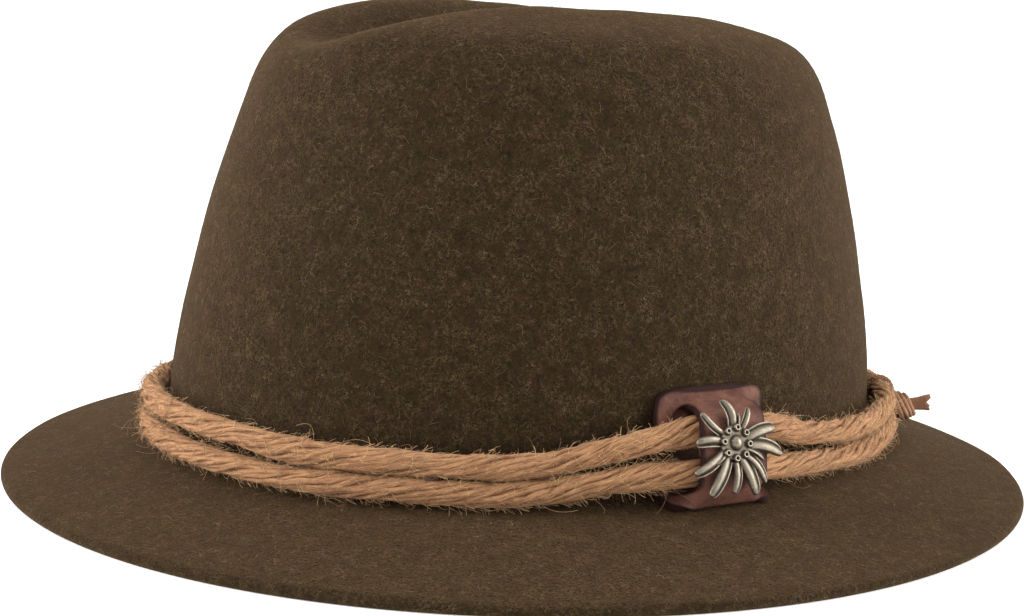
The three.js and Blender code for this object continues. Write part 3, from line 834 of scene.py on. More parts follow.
@dataclass(frozen=True)
class FibreCoat:
    """Loose fibres scattered over a piece by a Geometry Nodes tree.

    Each shape is a fibre's middle and end, as shares of its length: along the lay, across it and up.
    """

    name: str
    finish: FibreFinish
    density: float
    length: float
    radius: float
    spread: float
    seed: int
    shapes: tuple[tuple[tuple[float, float, float], tuple[float, float, float]], ...]
    scale_low: float = 0.45
    scale_high: float = 1.5
    segments: int = 3

    def tree(self) -> Tree:
        """Build the tree that scatters the fibres.

        Returns:
            The tree, with the fibres' sizes as named inputs.
        """
        tree = bpy.data.node_groups.new(self.name, "GeometryNodeTree")
        for label, kind in (("Geometry", "Geometry"), ("Fibres per square millimetre", "Float"),
                            ("Fibre length", "Float"), ("Fibre radius", "Float"), ("Spread", "Float"),
                            ("Seed", "Int"), ("Material", "Material")):
            tree.interface.new_socket(label, in_out="INPUT", socket_type=f"NodeSocket{kind}")
        tree.interface.new_socket("Geometry", in_out="OUTPUT", socket_type="NodeSocketGeometry")
        given = put(tree, "NodeGroupInput").outputs
        coat = put(tree, "GeometryNodeInputNamedAttribute", {"Name": "coat"}, data_type="FLOAT")
        per_metre = calc(tree, "MULTIPLY", given["Fibres per square millimetre"], 1 / MM ** 2)
        spots = put(tree, "GeometryNodeDistributePointsOnFaces", {
            "Mesh": given["Geometry"], "Seed": given["Seed"],
            "Density": calc(tree, "MULTIPLY", per_metre, coat.outputs["Attribute"]),
        }).outputs
        # A fibre stands on the skin, runs along the lay and is turned at random from it.
        lay = put(tree, "GeometryNodeInputNamedAttribute", {"Name": "lay_way"}, data_type="FLOAT_VECTOR")
        stand = put(tree, "FunctionNodeAlignRotationToVector", {"Vector": spots["Normal"]}, axis="Z")
        aimed = put(tree, "FunctionNodeAlignRotationToVector", {
            "Rotation": stand.outputs[0], "Vector": lay.outputs["Attribute"],
        }, axis="X", pivot_axis="Z")
        angle = calc(tree, "MULTIPLY", self.chance(tree, -1.0, 1.0, 3), given["Spread"])
        yaw = put(tree, "FunctionNodeAxisAngleToRotation", {"Axis": (0.0, 0.0, 1.0), "Angle": angle})
        turned = put(tree, "FunctionNodeRotateRotation", {
            "Rotation": aimed.outputs[0], "Rotate By": yaw.outputs[0],
        }, rotation_space="LOCAL")
        placed = put(tree, "GeometryNodeInstanceOnPoints", {
            "Points": spots["Points"], "Instance": self.kinds(tree, given), "Pick Instance": True,
            "Instance Index": self.chance(tree, 0, len(self.shapes) - 1, 7),
            "Rotation": turned.outputs[0], "Scale": self.chance(tree, self.scale_low, self.scale_high, 5),
        })
        toned = put(tree, "GeometryNodeStoreNamedAttribute", {
            "Geometry": placed.outputs[0], "Name": "chance", "Value": self.chance(tree, 0.0, 1.0, 11),
        }, data_type="FLOAT", domain="INSTANCE")
        real = put(tree, "GeometryNodeRealizeInstances", {"Geometry": toned.outputs[0]})
        dressed = put(tree, "GeometryNodeSetMaterial", {
            "Geometry": real.outputs[0], "Material": given["Material"],
        })
        put(tree, "NodeGroupOutput", {0: dressed.outputs[0]})
        return tree

    @staticmethod
    def chance(tree: Tree, low: float, high: float, seed: int) -> Socket:
        """Draw a random number for each fibre.

        Args:
            tree: The tree that takes it.
            low: The least number.
            high: The greatest number.
            seed: What sets one draw apart from another.

        Returns:
            A socket with the number, a whole one where both ends are whole.
        """
        kind, first, result = ("INT", 4, 2) if isinstance(low, int) else ("FLOAT", 2, 1)
        values = {first: low, first + 1: high, "Seed": seed}
        return put(tree, "FunctionNodeRandomValue", values, data_type=kind).outputs[result]

    def kinds(self, tree: Tree, given: bpy.types.bpy_prop_collection) -> Socket:
        """Build each shape, a thin tube that narrows to its end.

        Args:
            tree: The tree that takes them.
            given: The tree's own inputs.

        Returns:
            A socket with one instance of each shape.
        """
        ring = put(tree, "GeometryNodeCurvePrimitiveCircle", {
            "Resolution": 3, "Radius": given["Fibre radius"],
        })
        kinds = put(tree, "GeometryNodeJoinGeometry")
        for shape in self.shapes:
            middle, end = (put(tree, "ShaderNodeVectorMath", {0: share, "Scale": given["Fibre length"]},
                               operation="SCALE").outputs[0] for share in shape)
            line = put(tree, "GeometryNodeCurveQuadraticBezier", {
                "Resolution": self.segments, "Start": (0.0, 0.0, 0.0), "Middle": middle, "End": end,
            })
            along = put(tree, "GeometryNodeSplineParameter").outputs["Factor"]
            thin = put(tree, "GeometryNodeSetCurveRadius", {
                "Curve": line.outputs[0], "Radius": span(tree, along, 0.4, 1.0, 1.0, 0.35),
            })
            tube = put(tree, "GeometryNodeCurveToMesh", {
                "Curve": thin.outputs[0], "Profile Curve": ring.outputs[0], "Fill Caps": True,
            })
            one = put(tree, "GeometryNodeGeometryToInstance", {"Geometry": tube.outputs[0]})
            tree.links.new(one.outputs[0], kinds.inputs[0])
        return kinds.outputs[0]

    def grow(self, carrier: bpy.types.Object) -> bpy.types.Object:
        """Grow the fibres on a piece that holds the attributes coat and lay_way.

        Args:
            carrier: The piece that the fibres stand on.

        Returns:
            The fibres as one mesh object at the origin.
        """
        tree = self.tree()
        made = bpy.data.objects.new(self.name, carrier.data.copy())
        bpy.context.scene.collection.objects.link(made)
        coat = made.modifiers.new("coat", "NODES")
        coat.node_group = tree
        values = {
            "Fibres per square millimetre": self.density, "Fibre length": self.length * MM,
            "Fibre radius": self.radius * MM, "Spread": self.spread, "Seed": self.seed,
            "Material": self.finish.material(),
        }
        for item in tree.interface.items_tree:
            if item.in_out == "INPUT" and item.name in values:
                coat[item.identifier] = values[item.name]
        return settled(made)


@dataclass
class FeltShell:
    """The crown and brim, one blocked felt shell, and the nap that stands on it."""

    form: HatForm
    finish: WoolFelt = WoolFelt()
    fibre_finish: FibreFinish = FibreFinish("felt_fibre", "#33281A", "#6E5C42")
    sides: int = 240
    crown_rings: int = 66
    brim_rings: int = 26
    top_share: float = 0.988
    brim_shares: tuple[float, float] = (0.085, 0.975)
    inner_brim_share: float = 0.88
    bend_turns: tuple[int, ...] = (15, 30, 45, 60, 75)
    edge_turns: tuple[int, ...] = (60, 35, 10, -15, -40, -65, -90)
    unevenness: float = 0.35
    round_wave: Ripple = Ripple(0.6, (3, 5, 8, 13), 11)
    rising_wave: Ripple = Ripple(0.4, (1, 2, 3), 12)
    slow_rise: float = 60
    quick_rise: float = 14
    # Heights above the foot, and shares of the brim, between which the unevenness sets in.
    uneven_heights: tuple[float, float] = (24, 50)
    uneven_shares: tuple[float, float] = (0.35, 0.8)

    def rings(self) -> tuple[np.ndarray, np.ndarray, np.ndarray]:
        """Lay the felt out in rings, from the top's middle.

        Returns:
            The rings of the outside, of the edge and of the inside.
        """
        form = self.form
        angles = np.arange(self.sides) * 2 * math.pi / self.sides
        around = angles[None, :]
        foot_along = float(form.along_at_height(form.foot_radius))
        crown = form.crown_point(np.linspace(self.top_share, foot_along, self.crown_rings)[:, None], around)
        turns = np.radians(self.bend_turns)[:, None]
        up = form.foot_radius * (1 - np.sin(turns))
        out = form.foot_radius * (1 - np.cos(turns))
        bend = form.foot_point(around, form.wall_out(up) + out, up + form.brim_up(out, around))
        shares = np.linspace(*self.brim_shares, self.brim_rings)
        outside = np.concatenate([crown, bend, form.brim_point(shares[:, None], around)])
        middle = np.broadcast_to(form.crown_point(1.0, 0.0), (1, self.sides, 3))
        rows = np.concatenate([middle, outside, outside[-1:]])
        aside = np.roll(outside, -1, axis=1) - np.roll(outside, 1, axis=1)
        normals = unit(np.cross(rows[2:] - rows[:-2], aside))
        above_brim = len(crown) + len(bend)
        kept = above_brim + int((shares <= self.inner_brim_share).sum())
        inside = (outside - normals * form.felt_wall)[:kept]
        # Blocked felt is never quite even; the strands' seat keeps its true place.
        height = outside[..., 2] - form.brim_drop
        on_brim = ease(*self.uneven_shares, np.concatenate([np.full(above_brim, 0.0), shares]))
        free = ease(*self.uneven_heights, height) + on_brim[:, None]
        wave = self.round_wave.at(around + height / self.slow_rise)
        wave = wave + self.rising_wave.at(height / self.quick_rise + around * 2)
        shift = normals * (wave * free * self.unevenness)[..., None]
        return outside + shift, self.edge_rings(angles), inside + shift[:kept]

    def edge_rings(self, angles: np.ndarray) -> np.ndarray:
        """Lay out the brim's round edge and the flat strip that it rests on.

        Args:
            angles: Radians round from the front.

        Returns:
            Their rings.
        """
        form = self.form
        radius = form.felt_wall / 2
        turns = np.radians(self.edge_turns)
        insets = [*(radius * (1 - np.cos(turns))), radius + form.edge_land]
        heights = [*(radius * (1 + np.sin(turns))), 0.0]
        return np.stack([np.stack([
            (form.brim_width / 2 - inset) * np.sin(angles),
            -(form.brim_length / 2 - inset) * np.cos(angles),
            np.full_like(angles, high),
        ], axis=-1) for inset, high in zip(insets, heights)])

    def shell(self) -> bpy.types.Object:
        """Build the felt shell as one closed mesh.

        Returns:
            The shell, which knows where nap grows and its lay.
        """
        outside, edge, inside = self.rings()
        top = self.form.crown_point(1.0, 0.0)
        inner_top = top - np.array([0, 0, self.form.felt_wall])
        rings = np.concatenate([outside, edge, inside[::-1]])
        count = len(rings) * self.sides
        points = np.concatenate([rings.reshape(-1, 3), top[None], inner_top[None]])
        faces = ring_faces(len(rings), self.sides).tolist()
        for k in range(self.sides):
            after = (k + 1) % self.sides
            faces.append((count, k, after))
            faces.append((count + 1, count - self.sides + after, count - self.sides + k))
        made = mesh_object("felt_shell", points, faces)
        coat = np.zeros(len(points))
        coat[:(len(outside) - 1) * self.sides] = 1.0
        coat[count] = 1.0
        store(made, "coat", coat)
        angle = np.arctan2(points[:, 0], -points[:, 1])
        store(made, "lay_way", np.stack([np.cos(angle), np.sin(angle), 0 * angle], axis=-1))
        return made

    def build(self) -> None:
        """Build and dress the shell and its nap."""
        made = self.shell()
        curls = (
            ((0.45, 0.25, 0.30), (0.75, 0.85, 0.05)),
            ((0.55, -0.30, 0.22), (1.00, -0.10, 0.10)),
            ((0.35, 0.55, 0.35), (-0.15, 0.80, 0.12)),
        )
        nap = FibreCoat(
            "felt_nap", self.fibre_finish, density=0.060, length=1.7, radius=0.024, spread=math.pi, seed=4,
            shapes=curls, segments=2)
        fibres = nap.grow(made)
        finished(made, self.finish.material(), "felt", "felt_body")
        finished(fibres, None, "felt")


@dataclass
class HatCord:
    """Two closed strands of soft-laid jute round the crown, with their fuzz and a few stray hairs."""

    form: HatForm
    finish: JuteYarn = JuteYarn()
    hair_finish: FibreFinish = FibreFinish("jute_hair", "#7A5236", "#CFA977")
    start: float = 89.0
    covered: float = 7.0
    steps: int = 420
    yarn_sides: int = 7
    yarns: int = 16
    twists: int = 10
    yarn_radius: float = 0.72
    yarn_ring: float = 2.36
    core_radius: float = 2.3
    core_sides: int = 12
    # How unevenly the yarns lie. Each yarn's seed is moved on by its number.
    wander: Ripple = Ripple(0.26, (7, 19, 37), 20)
    girth: Ripple = Ripple(0.16, (17, 31, 59), 120)
    standing: Ripple = Ripple(0.06, (13, 33, 53), 220)
    bumps: Ripple = Ripple(0.06, (1, 2, 3), 320)
    pulse: Ripple = Ripple(0.05, (5, 11, 23), 420)
    seeds_apart: int = 20
    # Next to the keeper the pressed strands spread upwards and downwards, by these shares.
    pressed_at: tuple[float, ...] = (72, 80, 85, 93, 100)
    pressed_by: tuple[float, ...] = (0, 0.10, 0.24, 0.08, 0)
    upper_press: float = 2.0
    # Hair grows where the skin stands this far out, in rope radii, and not on the crown's side.
    hair_from: tuple[float, float] = (0.80, 0.95)
    hair_facing: tuple[float, float] = (-2.4, -0.9)

    def centre_line(self, strand: Strand) -> tuple[np.ndarray, np.ndarray, float]:
        """Walk a strand's middle line in even steps, from under the keeper and back to it.

        Args:
            strand: Which of the two strands.

        Returns:
            The angle in degrees at each step, the points and the whole length.
        """
        fine = self.start + np.linspace(0, 360, 2401)
        far = walked(self.points(fine, strand))
        degrees = np.interp(np.arange(self.steps) / self.steps * far[-1], far, fine)
        return degrees, self.points(degrees, strand), float(far[-1])

    def points(self, degrees: np.ndarray, strand: Strand) -> np.ndarray:
        """Return points of a strand's middle line at these angles."""
        out, up = self.form.strand_place(degrees, strand)
        return self.form.foot_point(np.radians(degrees), out, up)

    def strand(self, strand: Strand) -> bpy.types.Object:
        """Build one strand from its core and the yarns that are laid round it.

        Args:
            strand: Which of the two strands.

        Returns:
            The strand, which knows where hair grows and its lay.
        """
        degrees, middle, length = self.centre_line(strand)
        along = unit(np.roll(middle, -1, axis=0) - np.roll(middle, 1, axis=0))
        outward = self.form.foot_normal(np.radians(degrees))
        outward = unit(outward - along * (along * outward).sum(-1, keepdims=True))
        across = np.cross(along, outward)
        walk = 2 * math.pi * np.arange(self.steps) / self.steps
        shift = 0 if strand is Strand.LOWER else self.seeds_apart
        swell = np.interp(degrees % 360, self.pressed_at, self.pressed_by) + self.pulse.at(walk, shift)

        def tube(middles: np.ndarray, radius: np.ndarray, turn: np.ndarray) -> np.ndarray:
            """Return rings of points round a yarn's middle line."""
            return middles[:, None, :] + radius[..., None] * (
                outward[:, None, :] * np.cos(turn)[..., None] + across[:, None, :] * np.sin(turn)[..., None])

        around = math.pi + np.arange(self.yarn_sides) * 2 * math.pi / self.yarn_sides
        skins = []
        for yarn in range(self.yarns):
            number = shift + yarn
            phase = 2 * math.pi * yarn / self.yarns - self.twists * walk + self.wander.at(walk, number)
            core = outward * np.cos(phase)[:, None] + across * np.sin(phase)[:, None]
            ring = self.yarn_ring * (1 + self.standing.at(walk, number))
            bumps = 1 + self.bumps.at(around[None, :] + 31 * walk[:, None], number)
            radius = self.yarn_radius * (1 + self.girth.at(walk, number))[:, None] * bumps
            skin = tube(middle + core * ring[:, None], radius, phase[:, None] + around[None, :])
            high = ((skin - middle[:, None, :]) * across[:, None, :]).sum(-1, keepdims=True)
            high = high * np.where((high > 0) & (strand is Strand.UPPER), self.upper_press, 1.0)
            skins.append(skin + across[:, None, :] * high * swell[:, None, None])
        core_turn = np.arange(self.core_sides) * 2 * math.pi / self.core_sides - self.twists * walk[:, None]
        skins.append(tube(middle, np.full(core_turn.shape, self.core_radius), core_turn))
        sides = [self.yarn_sides] * self.yarns + [self.core_sides]
        faces = [ring_faces(self.steps, count, looped=True)[:, ::-1] for count in sides]
        made = mesh_object(f"rope_{strand.value}_strand",
                           *joined([(skin.reshape(-1, 3), face) for skin, face in zip(skins, faces)]))
        away = np.concatenate([np.linalg.norm(skin - middle[:, None, :], axis=-1).ravel() for skin in skins])
        away = away * 2 / self.form.rope_diameter
        facing = np.concatenate([
            ((skin - middle[:, None, :]) * outward[:, None, :]).sum(-1).ravel() for skin in skins])
        free = np.abs(np.mod(degrees - self.start + 180, 360) - 180) > self.covered
        free = np.concatenate([np.repeat(free, count) for count in sides])
        # groove, the distance from the strand's middle, sets the painted shade between the yarns.
        store(made, "groove", away)
        store(made, "lay_way", np.concatenate([np.repeat(along, count, axis=0) for count in sides]))
        store(made, "coat", free * (ease(*self.hair_from, away) * ease(*self.hair_facing, facing)))
        store_uv(made, np.concatenate([
            self.yarn_uv(face, count, length, number)
            for number, (face, count) in enumerate(zip(faces, sides))]))
        log.info("rope_%s: %.0f mm along its middle line", strand.value, length)
        return made

    def yarn_uv(self, faces: np.ndarray, sides: int, length: float, number: int) -> np.ndarray:
        """Lay a UV map in millimetres along a yarn and round it, with the seams kept whole.

        Args:
            faces: The yarn's faces, numbered from its own first point.
            sides: How many points go round it.
            length: The strand's length.
            number: The yarn's number, which shifts its streaks.

        Returns:
            One row of two numbers for each corner of each face.
        """
        ring, side = np.divmod(faces, sides)
        ring = np.where((ring == 0) & (ring.max(axis=1, keepdims=True) == self.steps - 1), self.steps, ring)
        side = np.where((side == 0) & (side.max(axis=1, keepdims=True) == sides - 1), sides, side)
        lay = np.stack([ring * length / self.steps + number * 211.0,
                        side * 2 * math.pi * self.yarn_radius / sides + number * 17.0], axis=-1)
        return lay.reshape(-1, 2)

    def build(self) -> None:
        """Build and dress both strands and their hairs."""
        fuzz_bows = (
            ((0.5, 0.06, 0.12), (1.0, 0.02, 0.02)),
            ((0.4, -0.16, 0.30), (0.8, -0.34, 0.36)),
            ((0.5, 0.18, 0.14), (0.95, 0.42, 0.05)),
            ((0.3, -0.08, 0.26), (0.7, 0.22, 0.20)),
        )
        stray_bows = (
            ((0.55, 0.45, 0.20), (0.55, 0.95, 0.02)),
            ((0.60, -0.35, 0.30), (0.15, -0.60, 0.12)),
            ((0.70, 0.20, 0.28), (1.00, -0.30, 0.06)),
        )
        for number, strand in enumerate(Strand):
            made = self.strand(strand)
            fuzz = FibreCoat(
                f"rope_{strand.value}_fuzz", self.hair_finish, density=0.80, length=2.5, radius=0.040,
                spread=1.25, seed=30 + number, shapes=fuzz_bows, scale_low=0.4, segments=2)
            strays = FibreCoat(
                f"rope_{strand.value}_strays", self.hair_finish, density=0.034, length=7.0, radius=0.030,
                spread=1.5, seed=50 + number, shapes=stray_bows, scale_low=0.4, segments=8)
            hairs = [coat.grow(made) for coat in (fuzz, strays)]
            finished(made, self.finish.material(), "jute", f"rope_{strand.value}")
            for hair in hairs:
                finished(hair, None, "jute")


@dataclass
class Keeper:
    """The leather keeper: a backing behind the strands, and over it a cover slotted for them."""

    form: HatForm
    finish: GrainedLeather = GrainedLeather()
    wall: float = 1.8
    leather_ease: float = 0.3
    width: float = 32.0
    top: float = 26.8
    apron: float = 10.2
    slant: float = 0.1
    bridge_width: float = 17.5
    slot_width: float = 2.6
    slot_top: float = 0.155
    slot_foot: float = 0.83
    backing_wall: float = 1.1
    backing_margin: float = 2.5
    # Shares of the way down where the slots' steep step sets in and ends, and how far it spreads past them.
    step_starts: tuple[float, float] = (0.10, 0.26)
    step_ends: tuple[float, float] = (0.74, 0.90)
    step_inside: float = 3.0
    step_outside: float = 2.5
    angle: float = 89.0
    flower_angle: float = 88.4
    grid: float = 0.55
    edge_step: float = 0.6
    hole_radius: float = 1.5
    lines: tuple[np.ndarray, np.ndarray] = field(init=False)

    def __post_init__(self) -> None:
        """Work out the two lines that the leather follows and the places that others hang on."""
        form = self.form
        radius = form.rope_diameter / 2
        self.seat = form.seat_gap + self.leather_ease + self.wall / 2
        lower = np.array([float(v) for v in form.strand_place(self.angle, Strand.LOWER)])
        upper = np.array([float(v) for v in form.strand_place(self.angle, Strand.UPPER)])
        down = unit(lower - upper)
        self.front = np.array([-down[1], down[0]])
        cover = radius + self.seat
        self.over_upper = upper + self.front * cover
        self.over_lower = lower + self.front * cover
        shoulder = upper + unit(self.front - down) * cover
        bend = form.foot_radius + self.seat

        def on_wall(up: float) -> tuple[float, float]:
            """Return the leather's place against the crown's side, this high."""
            return float(form.wall_out(up)) + self.seat, up

        def on_brim(out: float) -> tuple[float, float]:
            """Return the leather's place on the brim, this far out."""
            return out, float(form.brim_up(out, math.radians(self.angle))) + self.seat

        lobe = [on_wall(self.top), on_wall(self.top * 0.7), on_wall(self.top * 0.4), on_wall(bend * 1.2),
                (bend * 0.55, bend * 0.45), on_brim(bend * 1.4), on_brim(self.apron)]
        low = ((self.over_lower[0] + self.apron) / 2 + 0.6, (self.over_lower[1] + on_brim(self.apron)[1]) / 2)
        bridge = [on_wall(self.top), on_wall(max(self.top * 0.93, shoulder[1] + 1)), tuple(shoulder),
                  tuple(self.over_upper), tuple(self.over_lower), low, on_brim(self.apron - self.wall / 2)]
        self.lines = (self.walk(np.array(lobe)), self.walk(np.array(bridge)))

    @staticmethod
    def walk(points: np.ndarray, steps: int = 400, closed: bool = False) -> np.ndarray:
        """Lay a curve through points and walk it in even steps.

        Args:
            points: The points, in order.
            steps: How many steps are taken.
            closed: Whether the last point joins the first.

        Returns:
            The places, one more than the steps.
        """
        spans = len(points) if closed else len(points) - 1
        t = np.linspace(0, spans, 2001)
        i = np.minimum(t.astype(int), spans - 1)
        w = (t - i)[:, None]
        last = len(points) - 1
        p0, p1, p2, p3 = (
            points[np.mod(i + k, last + 1) if closed else np.clip(i + k, 0, last)] for k in (-1, 0, 1, 2))
        v0, v1 = (p2 - p0) / 2, (p3 - p1) / 2
        line = (2 * p1 - 2 * p2 + v0 + v1) * w ** 3 + (-3 * p1 + 3 * p2 - 2 * v0 - v1) * w ** 2 + v0 * w + p1
        return places_on(line, np.linspace(0, walked(line)[-1], steps + 1))

    @property
    def length(self) -> float:
        """The leather's length, measured along the bridge."""
        return float(walked(self.lines[1])[-1])

    def place(self, flat: np.ndarray) -> np.ndarray:
        """Carry points of the flat pattern onto the hat.

        Args:
            flat: Millimetres across, towards the back, and share of the way down.

        Returns:
            The points of the leather's middle surface.
        """
        across, share = flat.T
        # Beside the slots the leather steps from lobe to bridge; past their ends the step is gentle.
        past = 1 - ease(*self.step_starts, share) * (1 - ease(*self.step_ends, share))
        inner, outer = self.bridge_width / 2, self.bridge_width / 2 + self.slot_width
        lift = 1 - ease(inner - self.step_inside * past, outer + self.step_outside * past, np.abs(across))
        lobe, bridge = (self.spot(line, share) for line in self.lines)
        return self.onto_hat(across, lobe * (1 - lift)[:, None] + bridge * lift[:, None])

    def place_behind(self, flat: np.ndarray) -> np.ndarray:
        """Carry points of the flat pattern onto the hat behind the strands, all across."""
        return self.onto_hat(flat[:, 0], self.spot(self.lines[0], flat[:, 1]))

    @staticmethod
    def spot(line: np.ndarray, share: np.ndarray) -> np.ndarray:
        """Return the places that lie these shares of the way down a line of even steps."""
        at = np.clip(share, 0, 1) * (len(line) - 1)
        return np.stack([np.interp(at, np.arange(len(line)), column) for column in line.T], axis=-1)

    def onto_hat(self, across: np.ndarray, spot: np.ndarray) -> np.ndarray:
        """Put places of the leather on the hat.

        Args:
            across: Millimetres across, towards the back.
            spot: Distances out and up from the crown's foot.

        Returns:
            The points.
        """
        slide = across + (spot[:, 1] - self.top / 2) * self.slant
        angle = math.radians(self.angle) + slide / self.form.foot_half_length
        return self.form.foot_point(angle, spot[:, 0], spot[:, 1])

    def bridge_frame(self, angle: float, place: np.ndarray) -> np.ndarray:
        """Set a frame on the bridge.

        Args:
            angle: Radians round from the front.
            place: Distances out and up from the crown's foot.

        Returns:
            Its rows: across, up the bridge, the outward normal and the place.
        """
        level = self.form.foot_normal(angle) * self.front[0]
        normal = unit(level + np.array([0, 0, self.front[1]]))
        aside = unit(np.cross([0, 0, 1], normal))
        return np.stack([aside, np.cross(normal, aside), normal,
                         self.form.foot_point(angle, place[0], place[1])], axis=0)

    def post_frame(self) -> np.ndarray:
        """Return the frame of the ornament's post, halfway between the strands."""
        return self.bridge_frame(math.radians(self.flower_angle), (self.over_upper + self.over_lower) / 2)

    def outline(self) -> np.ndarray:
        """Return the flat pattern's outline in millimetres across and down."""
        corners = np.stack([KEEPER_EDGE["across"], np.array(KEEPER_EDGE["down"]) * self.length], axis=-1)
        return self.walk(corners, 240, closed=True)[:-1]

    def slot_outline(self, side: int) -> np.ndarray:
        """Draw one slot, an upright stadium with an arched top.

        Args:
            side: 1 for the slot towards the back, -1 for the other.

        Returns:
            Its outline.
        """
        turn = np.linspace(0, math.pi, 24)
        half = self.slot_width / 2
        high, low = self.slot_top * self.length + half, self.slot_foot * self.length - half
        arch = np.stack([half * np.cos(turn), -half * np.sin(turn)], axis=-1)
        shape = np.concatenate([arch + [0, high], -arch + [0, low]])
        return shape * [side, 1] + [side * (self.bridge_width / 2 + half), 0]

    def backing_outline(self) -> np.ndarray:
        """Draw the backing, which closes both slots from behind.

        Returns:
            Its outline.
        """
        wide = self.bridge_width / 2 + self.slot_width + self.backing_margin
        high, low = (self.slot_top - 0.05) * self.length, (self.slot_foot + 0.05) * self.length
        return np.array([(-wide, high), (wide, high), (wide, low), (-wide, low)])

    def post_hole(self) -> np.ndarray:
        """Draw the post's hole, level with the post where the leather runs down.

        Returns:
            Its outline.
        """
        across = -math.radians(self.angle - self.flower_angle) * self.form.foot_half_length
        shares = np.linspace(0, 1, 401)
        ups = self.place(np.stack([np.full(len(shares), across), shares], axis=-1))[:, 2]
        down = np.interp(-self.post_frame()[3][2], -ups, shares) * self.length
        turn = np.linspace(0, 2 * math.pi, 24, endpoint=False)
        return np.array([across, down]) + self.hole_radius * np.stack([np.cos(turn), np.sin(turn)], axis=-1)

    def pattern(self, loops: list[np.ndarray]) -> tuple[np.ndarray, np.ndarray, np.ndarray]:
        """Cut a flat pattern into small triangles.

        Args:
            loops: The outline, and then the outlines of its holes.

        Returns:
            The flat points, the triangles and each point's distance from the nearest cut edge.
        """
        half = self.width / 2 + 1
        xs = np.arange(-half, half + 0.01, self.grid)
        ys = np.arange(0, self.length + 0.01, self.grid)
        grid = np.stack(np.meshgrid(xs, ys), axis=-1).reshape(-1, 2)
        edges = np.concatenate([self.resample(loop) for loop in loops])
        away = np.min(np.linalg.norm(grid[:, None] - edges[None], axis=-1), axis=1)
        inner = grid[(away > self.grid * self.edge_step) & self.inside(grid, loops)]
        points = np.concatenate([edges, inner])
        corners = [Vector(point) for point in points.tolist()]
        vertices, _, triangles, *_ = geometry.delaunay_2d_cdt(corners, [], [], 0, 1e-6)
        flat = np.array([tuple(v) for v in vertices])
        triangles = np.array([t for t in triangles if len(t) == 3])
        triangles = triangles[self.inside(flat[triangles].mean(axis=1), loops)]
        used = np.unique(triangles)
        number = np.full(len(flat), -1)
        number[used] = np.arange(len(used))
        flat, triangles = flat[used], number[triangles]
        rim = np.min(np.linalg.norm(flat[:, None] - edges[None], axis=-1), axis=1)
        return flat, triangles, rim

    def resample(self, loop: np.ndarray) -> np.ndarray:
        """Walk a closed loop in even steps, close enough for the grid.

        Args:
            loop: The loop's points.

        Returns:
            The places.
        """
        closed = np.concatenate([loop, loop[:1]])
        length = walked(closed)[-1]
        count = max(int(length / (self.grid * self.edge_step)), 12)
        return places_on(closed, np.linspace(0, length, count, endpoint=False))

    @staticmethod
    def inside(points: np.ndarray, loops: list[np.ndarray]) -> np.ndarray:
        """Tell which flat points lie in the first loop and in none of the others.

        Args:
            points: The flat points.
            loops: The outline, and then the outlines of its holes.

        Returns:
            True for each point that does.
        """
        def within(loop: np.ndarray) -> np.ndarray:
            """Tell which points lie in one loop."""
            a, b = loop[None], np.roll(loop, -1, axis=0)[None]
            x, y = points[:, None, 0], points[:, None, 1]
            crosses = (a[..., 1] > y) != (b[..., 1] > y)
            rise = np.where(b[..., 1] == a[..., 1], 1, b[..., 1] - a[..., 1])
            at = a[..., 0] + (y - a[..., 1]) * (b[..., 0] - a[..., 0]) / rise
            return (crosses & (x < at)).sum(axis=1) % 2 == 1

        found = within(loops[0])
        for hole in loops[1:]:
            found &= ~within(hole)
        return found

    def sheet(self, loops: list[np.ndarray], place: Callable[[np.ndarray], np.ndarray],
              wall: float) -> bpy.types.Object:
        """Cut one sheet of leather and bend it onto the hat.

        Args:
            loops: Its outline and the outlines of its holes.
            place: What carries flat points onto the hat.
            wall: Its thickness.

        Returns:
            The sheet, with softly rounded cut edges.
        """
        flat, triangles, rim = self.pattern(loops)
        points = place(np.stack([flat[:, 0], flat[:, 1] / self.length], axis=-1))
        a, b, c = (points[triangles[:, k]] for k in range(3))
        outward = self.form.foot_normal(math.radians(self.angle)) + np.array([0, 0, 0.6])
        flip = (np.cross(b - a, c - a) @ outward) < 0
        triangles[flip] = triangles[flip][:, ::-1]
        made = mesh_object("leather_tab", points, triangles)
        store(made, "rim", rim)
        thick = made.modifiers.new("thickness", "SOLIDIFY")
        thick.thickness = wall * MM
        thick.offset = 0.0
        thick.use_even_offset = True
        round_edge = made.modifiers.new("edges", "BEVEL")
        round_edge.width = 0.25 * wall * MM
        round_edge.segments = 3
        round_edge.limit_method = "ANGLE"
        round_edge.angle_limit = math.radians(55)
        return settled(made)

    def build(self) -> None:
        """Build and dress the keeper, its two sheets in one piece."""
        holes = [self.slot_outline(1), self.slot_outline(-1), self.post_hole()]
        cover = self.sheet([self.outline(), *holes], self.place, self.wall)
        backing = self.sheet([self.backing_outline()], self.place_behind, self.backing_wall)
        both = bmesh.new()
        for sheet in (cover, backing):
            both.from_mesh(sheet.data)
        both.to_mesh(cover.data)
        both.free()
        bpy.data.objects.remove(backing)
        finished(cover, self.finish.material(), "leather", "leather_keeper")


